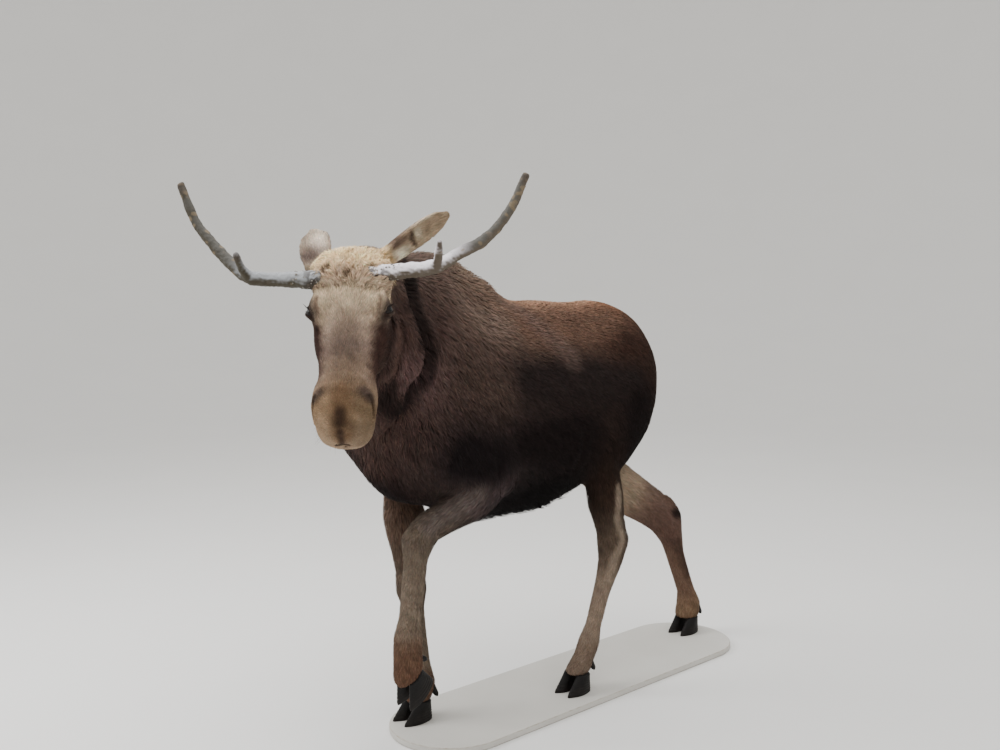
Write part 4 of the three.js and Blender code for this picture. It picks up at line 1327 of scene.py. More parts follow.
class Shader:
    """A material's node tree, with one Principled surface."""

    def __init__(self, name: str, roughness: float, specular: float = 0.4) -> None:
        """Starts a material of that name."""
        self.material = bpy.data.materials.new(name)
        self.material.use_nodes = True
        self.tree = self.material.node_tree
        self.surface = self.tree.nodes["Principled BSDF"]
        self.surface.inputs["Roughness"].default_value = roughness
        self.surface.inputs["Specular IOR Level"].default_value = specular

    def node(self, kind: str, settings: dict | None = None, inputs: dict | None = None,
             output: int | str = 0) -> Wire:
        """Adds any node.

        Args:
            kind: the node's type.
            settings: properties, set first; `stops` gives a ramp's places and colours.
            inputs: values or wires by socket name or number.
            output: the socket to return.
        Returns:
            The wire that leaves the node.
        """
        node = self.tree.nodes.new(kind)
        for key, value in (settings or {}).items():
            if key == "stops":
                ramp = node.color_ramp
                while len(ramp.elements) < len(value):
                    ramp.elements.new(0.5)
                for element, (place, colour) in zip(ramp.elements, value):
                    element.position = place
                    element.color = (*colour, 1)
            else:
                setattr(node, key, value)
        for key, value in (inputs or {}).items():
            self.feed(node.inputs[key], value)
        return Wire(self, node.outputs[output])

    def feed(self, socket: bpy.types.NodeSocket, value: object) -> None:
        """Links a wire to a socket, or sets the socket to a value."""
        if isinstance(value, Wire):
            self.tree.links.new(value.socket, socket)
        else:
            socket.default_value = value

    def place(self) -> Wire:
        """Object coordinates."""
        return self.node("ShaderNodeTexCoord", output="Object")

    def noise(self, scale: float, detail: float = 4, stretch: tuple | None = None) -> Wire:
        """Noise on Object coordinates, from 0 to 1."""
        where = self.place()
        if stretch:
            where = self.node("ShaderNodeMapping", inputs={"Vector": where, "Scale": stretch},
                              output="Vector")
        return self.node("ShaderNodeTexNoise", inputs={"Vector": where, "Scale": scale, "Detail": detail},
                         output=0)

    def attribute(self, name: str, output: str = "Color") -> Wire:
        """A named colour or number of the mesh."""
        return self.node("ShaderNodeAttribute", {"attribute_name": name}, output=output)

    def mix(self, factor: Wire, first: object, second: object) -> Wire:
        """Mixes two colours."""
        colours = [value if isinstance(value, Wire) else (*value, 1) for value in (first, second)]
        return self.node("ShaderNodeMix", {"data_type": "RGBA"}, dict(zip((0, 6, 7), (factor, *colours))),
                         2)

    def lit(self, colour: Wire, amount: object) -> Wire:
        """A colour times a number."""
        return self.node("ShaderNodeVectorMath", {"operation": "SCALE"}, {0: colour, "Scale": amount})

    def bump(self, height: Wire, strength: float, distance: float) -> None:
        """Sends a height to the surface's normal."""
        inputs = {"Height": height, "Strength": strength, "Distance": distance}
        self.into("Normal", self.node("ShaderNodeBump", inputs=inputs, output="Normal"))

    def into(self, name: str, wire: Wire) -> None:
        """Links a wire to an input of the surface."""
        self.feed(self.surface.inputs[name], wire)


@dataclass(frozen=True)
class HairFinish:
    """Coarse dull hair, coloured by the tint that each tuft carries."""

    name: str
    roughness: float = 0.68
    specular: float = 0.05
    streak: float = 0.4

    def material(self) -> bpy.types.Material:
        """Makes the material."""
        shader = Shader(self.name, self.roughness, self.specular)
        fleck = shader.noise(320, 3) * self.streak + (1.25 - self.streak)
        shader.into("Base Color", shader.lit(shader.attribute("tint"), fleck))
        shader.into("Roughness", shader.noise(90, 2) * 0.25 + (self.roughness - 0.12))
        return shader.material


@dataclass(frozen=True)
class SkinFinish:
    """Hide with short flat hair, coloured by its tint."""

    name: str
    roughness: float = 0.72

    def material(self) -> bpy.types.Material:
        """Makes the material."""
        shader = Shader(self.name, self.roughness, 0.1)
        nap = shader.noise(900, 2)
        mottle = shader.noise(60, 4)
        tint = shader.attribute("tint")
        shader.into("Base Color", shader.lit(tint, nap * 0.5 + mottle * 0.4 + 0.52))
        shader.into("Roughness", mottle * 0.2 + (self.roughness - 0.1))
        shader.bump(nap + mottle * 0.5, 0.35, 0.0015)
        return shader.material


@dataclass(frozen=True)
class VelvetFinish:
    """Antlers in dull grey velvet, worn in places."""

    name: str

    def material(self) -> bpy.types.Material:
        """Makes the material."""
        shader = Shader(self.name, 0.66, 0.3)
        tint = shader.attribute("tint")
        blotch = shader.noise(34, 5)
        pile = shader.noise(420, 3)
        worn = shader.node("ShaderNodeValToRGB", {"stops": [(0.6, (0, 0, 0)), (0.74, (1, 1, 1))]},
                           {0: blotch})
        colour = shader.mix(worn, tint, (0.115, 0.095, 0.075))
        shader.into("Base Color", shader.lit(colour, pile * 0.6 + 0.7))
        shader.into("Roughness", blotch * 0.3 + 0.5)
        shader.bump(pile * 0.4 + shader.noise(120, 4), 0.5, 0.0022)
        return shader.material


@dataclass(frozen=True)
class EyeFinish:
    """A wet dark eye, coloured by its tint."""

    name: str

    def material(self) -> bpy.types.Material:
        """Makes the material."""
        shader = Shader(self.name, 0.12, 0.2)
        shader.surface.inputs["Coat Weight"].default_value = 0.12
        shader.surface.inputs["Coat Roughness"].default_value = 0.05
        shader.into("Base Color", shader.lit(shader.attribute("tint"), shader.noise(700, 4) * 0.9 + 0.5))
        return shader.material


@dataclass(frozen=True)
class HornFinish:
    """Worn black horn with growth lines."""

    name: str

    def material(self) -> bpy.types.Material:
        """Makes the material."""
        shader = Shader(self.name, 0.5, 0.2)
        grain = shader.noise(160, 5, (1, 1, 5))
        scuff = shader.noise(45, 6)
        tint = shader.attribute("tint")
        shader.into("Base Color", shader.lit(tint, grain * 0.9 + scuff * 0.7 + 0.2))
        shader.into("Roughness", scuff * 0.3 + 0.42)
        shader.bump(grain + scuff * 0.4, 0.5, 0.0012)
        return shader.material


@dataclass(frozen=True)
class BaseFinish:
    """Board painted matte stone white, a little worn at its edges."""

    name: str

    def material(self) -> bpy.types.Material:
        """Makes the material."""
        shader = Shader(self.name, 0.62, 0.35)
        cloud = shader.noise(5, 4)
        orange_peel = shader.noise(260, 3)
        edge = shader.attribute("edge", "Fac")
        paint_colour = shader.mix(cloud, (0.47, 0.455, 0.42), (0.56, 0.545, 0.51))
        worn = edge * (shader.noise(40, 5) ** 2.0) * 1.6
        shader.into("Base Color", shader.mix(worn, paint_colour, (0.3, 0.25, 0.19)))
        shader.into("Roughness", cloud * 0.2 + 0.52)
        shader.bump(orange_peel, 0.12, 0.001)
        return shader.material


@dataclass(frozen=True)
class FloorFinish:
    """A plain pale floor."""

    name: str

    def material(self) -> bpy.types.Material:
        """Makes the material."""
        shader = Shader(self.name, 0.8, 0.2)
        cloud = shader.noise(1.4, 3)
        shader.into("Base Color", shader.mix(cloud, (0.74, 0.735, 0.72), (0.77, 0.765, 0.75)))
        return shader.material


def dress(obj: bpy.types.Object, material: bpy.types.Material,
          replaces: list[str] | None = None) -> None:
    """Gives a finished piece its material and its body, and hides the solids that it stands for."""
    obj.data.materials.clear()
    obj.data.materials.append(material)
    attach(obj, BODY)
    if replaces:
        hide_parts(*replaces)
    log.info("%s: %d faces", obj.name, len(obj.data.polygons))


# ---------------------------------------------------------------- bristles and beads

class Scatter(Enum):
    """What is set on each point."""

    BRISTLE = "bristle"
    BEAD = "bead"


def scatter_tree(kind: Scatter, material: bpy.types.Material) -> bpy.types.NodeTree:
    """Builds the Geometry Nodes that set a bristle or a bead on every point.

    Each point carries `way`, the direction it points in, and `size`, its length or radius.
    """
    tree = bpy.data.node_groups.new("set_" + kind.value, "GeometryNodeTree")
    tree.interface.new_socket("Geometry", in_out="INPUT", socket_type="NodeSocketGeometry")
    for name in ("Thickness", "Bend"):
        tree.interface.new_socket(name, in_out="INPUT", socket_type="NodeSocketFloat")
    tree.interface.new_socket("Seed", in_out="INPUT", socket_type="NodeSocketInt")
    tree.interface.new_socket("Geometry", in_out="OUTPUT", socket_type="NodeSocketGeometry")

    def add(kind: str, inputs: dict | None = None, **settings: str) -> bpy.types.Node:
        """Adds a node, with its settings and with values or sockets for its inputs."""
        node = tree.nodes.new(kind)
        for key, value in settings.items():
            setattr(node, key, value)
        for key, value in (inputs or {}).items():
            if isinstance(value, bpy.types.NodeSocket):
                tree.links.new(value, node.inputs[key])
            else:
                node.inputs[key].default_value = value
        return node

    given = add("NodeGroupInput").outputs
    if kind is Scatter.BRISTLE:
        end = add("ShaderNodeCombineXYZ", {"X": given["Bend"], "Z": 0.92})
        line = add("GeometryNodeCurveQuadraticBezier", {"Resolution": 5, "Start": (0, 0, 0),
                                                        "Middle": (0, 0, 0.55), "End": end.outputs[0]})
        share = add("GeometryNodeSplineParameter").outputs["Factor"]
        taper = add("ShaderNodeMath", {0: 1.04, 1: share}, operation="SUBTRACT").outputs[0]
        radius = add("GeometryNodeSetCurveRadius", {"Curve": line.outputs["Curve"], "Radius": taper})
        ring = add("GeometryNodeCurvePrimitiveCircle", {"Resolution": 4, "Radius": given["Thickness"]})
        tube = add("GeometryNodeCurveToMesh", {"Curve": radius.outputs["Curve"],
                                               "Profile Curve": ring.outputs["Curve"], "Fill Caps": True})
        if "Scale" in tube.inputs:
            tree.links.new(taper, tube.inputs["Scale"])
        shape = tube.outputs["Mesh"]
    else:
        ball = add("GeometryNodeMeshIcoSphere", {"Subdivisions": 2, "Radius": given["Thickness"]})
        shape = ball.outputs["Mesh"]
    heading = add("GeometryNodeInputNamedAttribute", {"Name": "way"}, data_type="FLOAT_VECTOR")
    size = add("GeometryNodeInputNamedAttribute", {"Name": "size"}, data_type="FLOAT")
    spread = add("FunctionNodeRandomValue", {2: 0.8, 3: 1.2, "Seed": given["Seed"]}, data_type="FLOAT")
    scale = add("ShaderNodeMath", {0: size.outputs["Attribute"], 1: spread.outputs[1]},
                operation="MULTIPLY")
    align = add("FunctionNodeAlignRotationToVector", {"Vector": heading.outputs["Attribute"]}, axis="Z")
    copies = add("GeometryNodeInstanceOnPoints", {"Points": given["Geometry"], "Instance": shape,
                                                  "Rotation": align.outputs["Rotation"],
                                                  "Scale": scale.outputs[0]})
    real = add("GeometryNodeRealizeInstances", {"Geometry": copies.outputs["Instances"]})
    soft = add("GeometryNodeSetShadeSmooth", {"Geometry": real.outputs["Geometry"]})
    painted = add("GeometryNodeSetMaterial", {"Geometry": soft.outputs["Geometry"], "Material": material})
    add("NodeGroupOutput", {"Geometry": painted.outputs["Geometry"]})
    return tree


def scattered(name: str, kind: Scatter, material: bpy.types.Material, points: Array, ways: Array,
              sizes: Array,
              thickness: float, bend: float = 0.0, seed: int = 3) -> bpy.types.Object:
    """Sets bristles or beads on points, as one plain mesh.

    Args:
        name: the piece's name.
        kind: bristles or beads.
        material: their material.
        points: where they stand.
        ways: the direction of each.
        sizes: the length of each bristle in metres, or the scale of each bead.
        thickness: a bristle's radius as a share of its length, or a bead's radius in metres.
        bend: how far a bristle's tip leans over, as a share of its length.
        seed: the seed of their random sizes.
    Returns:
        The piece's object.
    """
    mesh = bpy.data.meshes.new(name + "_points")
    mesh.from_pydata([tuple(p) for p in points], [], [])
    way_layer = mesh.attributes.new("way", "FLOAT_VECTOR", "POINT")
    way_layer.data.foreach_set("vector", unit(ways).astype(np.float32).ravel())
    mesh.attributes.new("size", "FLOAT", "POINT").data.foreach_set("value", np.asarray(sizes, np.float32))
    obj = bpy.data.objects.new(name + "_points", mesh)
    bpy.context.scene.collection.objects.link(obj)
    modifier = obj.modifiers.new("Scatter", "NODES")
    modifier.node_group = scatter_tree(kind, material)
    values = {"Thickness": thickness, "Bend": bend, "Seed": seed}
    for item in modifier.node_group.interface.items_tree:
        if item.in_out == "INPUT" and item.name in values:
            modifier[item.identifier] = values[item.name]
    return evaluated(obj, name)


# ---------------------------------------------------------------- eyes

@dataclass
class Eyes:
    """Both eyeballs, each with a clear front, a brown iris and a level pupil."""

    around: int = 72
    rings: int = 60
    cornea: float = 0.055  # how far the clear front bulges, as a share of the radius
    iris: float = 0.0158
    pupil: tuple = (0.0085, 0.006)  # half its width and height

    def build(self, side: int) -> bpy.types.Object:
        """Makes one eyeball, with its colours.

        Args:
            side: 1 for the left eye, -1 for the right one.
        Returns:
            The eyeball's object.
        """
        share = np.linspace(0, 1, self.rings + 1)[1:-1]
        tilt = math.pi * (0.45 * share + 0.55 * share ** 2)
        turn = np.linspace(0, 2 * math.pi, self.around, endpoint=False)
        bulge = 1 + self.cornea * (1 - smooth(np.sin(tilt), 0.4, 0.66)) * (tilt < 1.5)
        radius = (EYE_RADIUS * bulge)[:, None]
        x = radius * np.sin(tilt)[:, None] * np.cos(turn)
        y = radius * np.sin(tilt)[:, None] * np.sin(turn)
        z = radius * np.cos(tilt)[:, None] + 0 * turn
        local = np.stack([x, y, z], axis=-1).reshape(-1, 3)
        local = np.concatenate([local, [[0, 0, EYE_RADIUS * (1 + self.cornea)], [0, 0, -EYE_RADIUS]]])
        obj = make_mesh("eyeball_left" if side > 0 else "eyeball_right", eye_axes(side).place(local),
                        closed_faces(self.rings - 1, self.around, np.linalg.det(eye_axes(side).rows) < 0))
        across = np.hypot(local[:, 0], local[:, 1])
        colour = np.tile(np.array([0.02, 0.013, 0.011]), (len(local), 1))
        spokes = 0.75 + 0.4 * np.sin(23 * np.arctan2(local[:, 1], local[:, 0])) * np.sin(across * 900)
        iris = (across < self.iris) & (local[:, 2] > 0)
        colour[iris] = (np.array([0.012, 0.006, 0.0035]) * spokes[:, None])[iris]
        wide, high = self.pupil
        pupil = (np.hypot(local[:, 0] / wide, local[:, 1] / high) < 1) & (local[:, 2] > 0)
        colour[pupil] = (0.0022, 0.0022, 0.003)
        paint(obj, "tint", colour)
        return obj


def ring_faces(rings: int, around: int) -> list[tuple[int, int, int]]:
    """Triangles between stacked rings that have the same number of points."""
    faces = []
    for r in range(rings - 1):
        for i in range(around):
            k = (i + 1) % around
            a, b, c, d = r * around + i, r * around + k, (r + 1) * around + k, (r + 1) * around + i
            faces += [(a, c, b), (a, d, c)]
    return faces


def closed_faces(rings: int, around: int, turned: bool) -> Array:
    """The triangles of stacked rings closed by a fan at either end, whose middles are the last two points."""
    faces = ring_faces(rings, around)
    last, top = rings * around, (rings - 1) * around
    for i in range(around):
        k = (i + 1) % around
        faces += [(i, k, last), (top + k, top + i, last + 1)]
    return np.array(faces)[:, ::-1] if turned else np.array(faces)


def closed(rings: list[Array], turned: bool) -> tuple[Array, Array]:
    """The points and triangles of stacked rings, closed at either end."""
    points = np.concatenate(rings + [rings[0].mean(axis=0)[None], rings[-1].mean(axis=0)[None]])
    return points, closed_faces(len(rings), len(rings[0]), turned)


# ---------------------------------------------------------------- antlers

@dataclass(frozen=True)
class AntlerPlan:
    """An antler's stem, beam and tine in the crown's frame, in millimetres."""

    side: str
    stem: tuple
    beam: tuple
    tine: tuple
    pale: tuple  # the stem's colour on top; with `under`, the two antlers carry painted light and shade, the left's two to three times as light as the right's
    under: tuple


# painted light and shade: the left antler's colours are a lit copy of the right's, two to three times as light
ANTLERS = (
    AntlerPlan("right", ((35, -70, -98), (28, -130, -100), (15, -203, -99), (20, -289, -95)),
               ((0, -353, -50), (-15, -410, 8), (-20, -459, 70), (-10, -501, 186)),
               ((62, -303, -66), (92, -311, -24)),
               (0.29, 0.3, 0.315), (0.045, 0.036, 0.02)),
    AntlerPlan("left", ((35, 70, -84), (28, 125, -80), (15, 184, -72), (20, 264, -61)),
               ((0, 334, -20), (-15, 393, 10), (-20, 443, 55), (-20, 489, 119), (-10, 529, 212)),
               ((60, 275, -28), (92, 281, 11)), (0.8, 0.76, 0.8), (0.09, 0.07, 0.05)),
)


def antler_solids(plan: AntlerPlan) -> list[str]:
    """The names of an antler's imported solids."""
    return ["antler_" + plan.side + part for part in ("_base", "_beam", "_tine")]


@dataclass
class Antlers:
    """A young bull's two antlers: a burr, a rough stem and a fork."""

    voxel: float = 0.003

    def build(self, plan: AntlerPlan) -> bpy.types.Object:
        """Makes one antler from its three solids, with its colours."""
        obj = remeshed("antler_" + plan.side, antler_solids(plan), self.voxel)
        points = relax(points_of(obj.data), edges_of(obj.data), np.full(len(obj.data.vertices), 7.0))
        move_points(obj.data, points)
        normals = normals_of(obj.data)
        line = CROWN.place_mm(plan.stem + plan.beam)
        _, share = distance_to_path(points, line)
        root = np.linalg.norm(points - line[0], axis=1)
        burr = np.exp(-((root - 0.012) / 0.011) ** 2) * 0.006
        angle = noise(points, 0.02, 61)
        ridges = 0.0011 * noise(points, 0.013, 62) + 0.0022 * noise(points, 0.05, 63)
        grown_by = 0.0026 + burr * (1 + 0.5 * angle) + ridges * (1 - 0.4 * share)
        points = points + normals * grown_by[:, None]
        move_points(obj.data, points)
        paint(obj, "tint", self.colours(plan, points, normals_of(obj.data), share, root))
        return obj

    def colours(self, plan: AntlerPlan, points: Array, normals: Array, share: Array, root: Array) -> Array:
        """Paler above and browner below as painted light and shade, yellowish where the skin peels near the
        tips.
        """
        pale, brown, peel = np.array(plan.pale), np.array(plan.under), np.array([0.2, 0.15, 0.09])
        pale = pale + smooth(share, 0.4, 0.6)[:, None] * (np.array([0.078, 0.073, 0.063]) - pale)
        # painted light and shade: paler where the surface faces up, browner where it faces down
        above = smooth(normals[:, 2] + 0.2 * noise(points, 0.07, 64), -0.55, 0.25)[:, None]
        colour = brown + above * (pale - brown)
        worn = (smooth(noise(points, 0.03, 65) + 1.1 * (share - 0.75), 0.45, 0.75) * 0.7)[:, None]
        colour += worn * (peel - colour)
        tips = CROWN.place_mm([plan.beam[-1], plan.tine[-1]])
        tip = np.min([np.linalg.norm(points - t, axis=1) for t in tips], axis=0)
        dark = (1 - smooth(tip, 0.012, 0.04))[:, None] * 0.6
        colour += dark * (np.array([0.05, 0.035, 0.026]) - colour)
        # darker in blotches near the root
        dark_near_root = (1 - smooth(root, 0.03, 0.09)) * smooth(noise(points, 0.022, 66), -0.1, 0.35) * 0.8
        return colour + dark_near_root[:, None] * (np.array([0.035, 0.026, 0.022]) - colour)


# ---------------------------------------------------------------- hooves

@dataclass
class Hooves:
    """The horn of each foot: two toes and two dew claws. Sizes are in metres."""

    around: int = 48
    rows: int = 22
    sole: tuple = (0.008, 0.006, 0.005)
    top: tuple = (0.003, 0.0025, 0.0022)

    def build(self, name: str, plan: LegPlan) -> bpy.types.Object:
        """Makes the horn of one foot, with its colours."""
        foot = foot_axes(plan)
        local, faces = joined([part(side) for part in (self.toe, self.claw) for side in SIDES.values()])
        obj = make_mesh("hooves_" + name, foot.place(local), faces)
        height = smooth(local[:, 2], 0.0, 0.075)[:, None]
        sole = np.array(self.sole)
        colour = sole + height * (np.array(self.top) - sole)
        colour *= (1 + 0.3 * noise(local, 0.03, 71))[:, None]
        paint(obj, "tint", colour)
        return obj

    def toe(self, side: int) -> tuple[Array, Array]:
        """One toe in the foot's frame: a flat sole, a sloping front wall and a soft heel."""
        rings = []
        turn = np.linspace(0, 2 * math.pi, self.around, endpoint=False)
        c, s = np.cos(turn), np.sin(turn)
        edge = [(0.0, 0.006), (0.0, 0.0015), (0.002, 0.0)]  # height and inset of the sole's rounded edge
        for up, inset in edge + [(u, 0.0) for u in np.linspace(0.007, 0.076, self.rows)]:
            rise = (up - 0.007) / 0.071 if up > 0.007 else 0.0
            back = -0.061 + 0.007 * rise + inset
            front = 0.075 - 0.061 * rise - inset
            wide = 0.0275 - 0.003 * rise - inset
            ridge = 0.0007 * math.sin(up * 620) + 0.0005 * math.sin(up * 1370 + 1)
            narrow = 1 - 0.5 * np.maximum(0, c) ** 2
            y = np.maximum((wide + ridge) * narrow * s, -0.8 * wide) + 0.028 + 0.004 * (c + 1)
            x = (back + front) / 2 + ((front - back) / 2 + ridge) * c
            rings.append(np.stack([x, side * y, np.full(self.around, up)], axis=1))
        return closed(rings, side > 0)

    def claw(self, side: int) -> tuple[Array, Array]:
        """One dew claw behind the pastern, in the foot's frame."""
        a, b = np.array([-0.066, side * 0.024, 0.120]), np.array([-0.092, side * 0.029, 0.076])
        along = unit(b - a)
        across = unit(np.cross(along, (0, 1, 0)))
        other = np.cross(along, across)
        turn = np.linspace(0, 2 * math.pi, self.around // 2, endpoint=False)[:, None]
        rings = []
        for t in np.linspace(0, 1, 12):
            tip = math.sqrt(max(1 - max(0, (t - 0.75) / 0.27) ** 2, 0.02))
            radius = (0.0155 + (0.0085 - 0.0155) * t) * tip + 0.0004 * math.sin(t * 40)
            rings.append(a + t * (b - a) + radius * (np.cos(turn) * across + 0.85 * np.sin(turn) * other))
        return closed(rings, True)


# ---------------------------------------------------------------- the base

@dataclass
class Base:
    """The museum base: a plate with round ends and eased edges."""

    ease: float = 0.004
    steps: int = 40

    def build(self) -> bpy.types.Object:
        """Makes the plate inside its solid's box."""
        low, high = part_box("stand_base")
        middle = np.array([(low.x + high.x) / 2, (low.y + high.y) / 2])
        half = (high.x - low.x) / 2
        reach = (high.y - low.y) / 2 - half
        turn = np.linspace(0, math.pi, self.steps + 1)
        ends = np.concatenate([turn, turn + math.pi])
        centre = np.where(np.arange(len(ends)) <= self.steps, reach, -reach)
        profile = [(self.ease * (1 - math.sin(a)), low.z + self.ease * (1 - math.cos(a)))
                   for a in np.linspace(0, math.pi / 2, 6)]
        profile += [(inset, high.z - (z - low.z)) for inset, z in reversed(profile)]
        profile = [(0.03, low.z)] + profile + [(0.012, high.z), (0.04, high.z), (0.12, high.z)]
        rings = []
        for inset, z in profile:
            radius = half - inset
            rings.append(np.stack([radius * np.cos(ends) + middle[0],
                                   radius * np.sin(ends) + centre + middle[1],
                                   np.full(len(ends), z)], axis=1))
        points, faces = closed(rings, True)
        obj = make_mesh("base_plate", points, faces, soft=False)
        worn = np.array([1.0 if 0 < inset < self.ease else 0.0 for inset, _ in profile])
        paint(obj, "edge", np.concatenate([np.repeat(worn, len(ends)), [0, 0]]))
        return obj


# ---------------------------------------------------------------- lashes, whiskers and burrs

LASHES = 34
PEARLS = 90
WHISKERS, CHIN_WHISKERS = 46, 34


def lash_roots(side: int) -> tuple[Array, Array, Array]:
    """Where the upper lid's lashes stand, where they point and how long they are."""
    eye = eye_axes(side)
    share = np.linspace(-0.86, 0.92, LASHES)
    x = share * EYE_OPENING[0]
    y = EYE_OPENING[1] * np.sqrt(1 - share ** 2) + 0.0016
    z = np.sqrt(np.maximum(0.0249 ** 2 - x ** 2 - y ** 2, 0))
    local = np.stack([x, y, z], axis=1)
    ways = np.stack([share * 0.55, 0.35 + 0 * share, 1.0 + 0 * share], axis=1)
    sizes = 0.015 + 0.005 * np.sin(np.arange(LASHES) * 2.3) + 0.004 * share
    return eye.place(local), eye.turn(ways), sizes


def whisker_roots(tree: BVHTree, seed: int = 17) -> tuple[Array, Array, Array]:
    """Where the muzzle's whiskers stand, where they point and how long they are."""
    rng = np.random.default_rng(seed)
    seeds = []
    for _ in range(WHISKERS):
        seeds.append((rng.uniform(520, 604), rng.choice([-1, 1]) * rng.uniform(30, 84),
                      rng.uniform(-110, -60)))
    for _ in range(CHIN_WHISKERS):
        seeds.append((rng.uniform(520, 590), rng.uniform(-40, 40), rng.uniform(-190, -150)))
    spots, normals = nearest(tree, HEAD.place_mm(seeds))
    ways = normals + HEAD.turn(np.array([0.5, 0, -0.45])) + rng.normal(0, 0.18, spots.shape)
    return spots - normals * 0.002, ways, rng.uniform(0.018, 0.036, len(spots))


def pearl_roots(plan: AntlerPlan, antler: bpy.types.Object, seed: int = 5) -> tuple[Array, Array, Array]:
    """Where the pearls of a burr sit, where they point and how large they are."""
    rng = np.random.default_rng(seed)
    points, normals = points_of(antler.data), normals_of(antler.data)
    root = CROWN.place_mm(plan.stem[0])
    far = np.linalg.norm(points - root, axis=1)
    odds = np.exp(-((far - 0.014) / 0.012) ** 2) + 0.05 * (far < 0.09)
    picked = rng.choice(len(points), PEARLS, replace=False, p=odds / odds.sum())
    return points[picked], normals[picked], rng.uniform(0.6, 1.5, PEARLS)


@dataclass(frozen=True)
class Bristly:
    """What bristles or beads of one sort are made of."""

    kind: Scatter
    colour: tuple
    slot: str
    thickness: float
    bend: float = 0.0

    def set(self, name: str, material: bpy.types.Material, roots: tuple[Array, Array, Array]) -> None:
        """Sets them at their roots, coloured and with a map, as one finished piece."""
        obj = scattered(name, self.kind, material, *roots, self.thickness, self.bend)
        points = points_of(obj.data)
        for layer in ("way", "size"):
            if layer in obj.data.attributes:
                obj.data.attributes.remove(obj.data.attributes[layer])
        paint(obj, "tint", np.array(self.colour) * (1 + 0.35 * noise(points, 0.02, 81))[:, None])
        for layer in list(obj.data.uv_layers):
            obj.data.uv_layers.remove(layer)
        map_uv(obj, unwrap(Patch.HEAD, points))
        dress(obj, material)


BURR_PEARLS = Bristly(Scatter.BEAD, (0.24, 0.225, 0.2), "antler", 0.0024)
EYE_LASHES = Bristly(Scatter.BRISTLE, (0.02, 0.016, 0.014), "face_coat", 0.018, 0.2)
MUZZLE_WHISKERS = Bristly(Scatter.BRISTLE, (0.1, 0.08, 0.065), "face_coat", 0.009, 0.15)


# ---------------------------------------------------------------- floor, light and camera

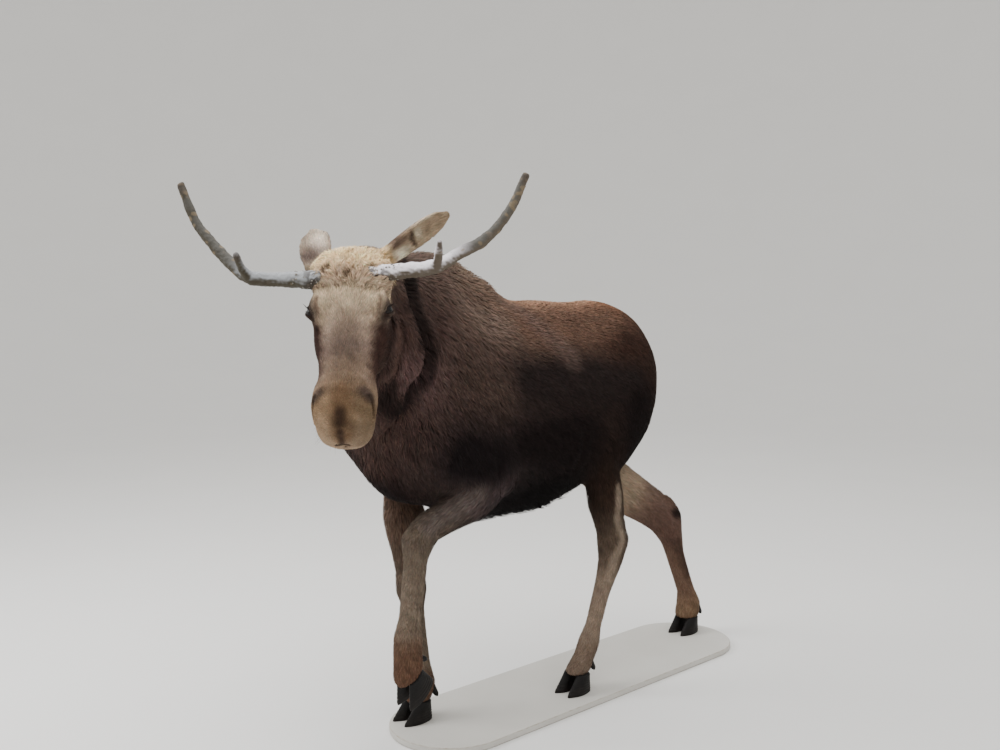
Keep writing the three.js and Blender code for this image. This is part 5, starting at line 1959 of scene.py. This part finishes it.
@dataclass(frozen=True)
class Studio:
    """A pale floor under soft light, and the camera."""

    eye: tuple = (3.370, 2.969, 1.640)
    aim: tuple = (-0.7290, 0.6798, -0.0807)
    lens: float = 37.8
    floor_sides: int = 96
    floor_drop: float = 0.0005  # how far the floor lies below the base

    def build(self) -> None:
        """Sets the floor, the light and the camera."""
        self.floor()
        self.light()
        data = bpy.data.cameras.new("camera")
        data.lens = self.lens
        data.sensor_width = 36
        data.clip_end = 200
        camera = bpy.data.objects.new("camera", data)
        camera.location = at(*self.eye)
        camera.rotation_euler = Vector(self.aim).to_track_quat("-Z", "Y").to_euler()
        bpy.context.scene.collection.objects.link(camera)
        bpy.context.scene.camera = camera

    def floor(self) -> None:
        """A wide floor that rises a little far away, so that it ends in the background's tone."""
        sides = self.floor_sides
        turn = np.linspace(0, 2 * math.pi, sides, endpoint=False)
        circle = np.stack([np.cos(turn), np.sin(turn), 0 * turn], axis=1)
        sweep = [(9 + 11 * math.sin(a), 11 * (1 - math.cos(a))) for a in np.linspace(0, 1.55, 20)]
        flat = [(0.6, 0), (2, 0), (5, 0)]
        rings = [radius * circle + (0, 0, z - self.floor_drop) for radius, z in flat + sweep]
        points = np.concatenate(rings + [np.array([[0, 0, -self.floor_drop]])])
        faces = ring_faces(len(rings), sides)
        faces += [(i, (i + 1) % sides, len(points) - 1) for i in range(sides)]
        obj = make_mesh("floor", points, np.array(faces))
        obj.data.materials.append(FloorFinish("pale floor").material())

    def light(self) -> None:
        """An even pale surrounding, a large soft light overhead and a smaller one on the left."""
        world = bpy.data.worlds.new("studio")
        world.use_nodes = True
        world.node_tree.nodes["Background"].inputs["Color"].default_value = (1.0, 0.985, 0.96, 1)
        world.node_tree.nodes["Background"].inputs["Strength"].default_value = 1.1
        bpy.context.scene.world = world
        for name, place, size, power in (("overhead", (1.2, 0.6, 5.5), 6.0, 300),
                                         ("key", (3.6, -2.4, 3.6), 2.6, 160)):
            data = bpy.data.lights.new(name, "AREA")
            data.size = size
            data.energy = power
            lamp = bpy.data.objects.new(name, data)
            lamp.location = at(*place)
            lamp.rotation_euler = Vector(at(0.9, 0, 1.1) - at(*place)).to_track_quat("-Z", "Y").to_euler()
            bpy.context.scene.collection.objects.link(lamp)


# ---------------------------------------------------------------- the whole

SLOTS = {Patch.BODY: "body_coat", Patch.NECK: "body_coat", Patch.TAIL: "body_coat", Patch.LEGS: "leg_coat",
         Patch.HEAD: "face_coat", Patch.EARS: "face_coat"}


def main() -> None:
    """Builds the moose, its base and the studio."""
    logging.basicConfig(level=logging.INFO, format="%(name)s: %(message)s")
    coat, marks = Coatmap(), Markings()
    skin = Skin().build(coat)
    paint(skin, "tint", coat_colour(coat, marks, points_of(skin.data)))
    hide = SkinFinish("short hair on hide").material()
    dress(skin, hide, FLESH)
    hair = {"body_coat": HairFinish("coarse body hair").material(),
            "leg_coat": HairFinish("short leg hair").material(),
            "face_coat": HairFinish("fine face hair", 0.62).material()}
    for piece in Coat().build(skin, coat, marks):
        slot = SLOTS[Patch(piece.name.split("_")[1])]
        dress(piece, hair[slot])
    wet = EyeFinish("wet dark eye").material()
    for name, side in SIDES.items():
        dress(Eyes().build(side), wet, ["eye_" + name])
    velvet = VelvetFinish("worn grey velvet").material()
    for plan in ANTLERS:
        antler = Antlers().build(plan)
        dress(antler, velvet, antler_solids(plan))
        BURR_PEARLS.set("pearls_" + plan.side, velvet, pearl_roots(plan, antler))
    horn = HornFinish("worn black horn").material()
    for name, plan in LEGS.items():
        nodes = [f"{kind}_{name}_{toe}" for kind in ("hoof", "dewclaw") for toe in ("inner", "outer")]
        dress(Hooves().build(name, plan), horn, nodes)
    dress(Base().build(), BaseFinish("stone white paint").material(), ["stand_base"])
    for name, side in SIDES.items():
        EYE_LASHES.set("lashes_" + name, hair["face_coat"], lash_roots(side))
    MUZZLE_WHISKERS.set("whiskers", hair["face_coat"], whisker_roots(tree_of(skin.data)))
    Studio().build()


if __name__ == "__main__":
    main()
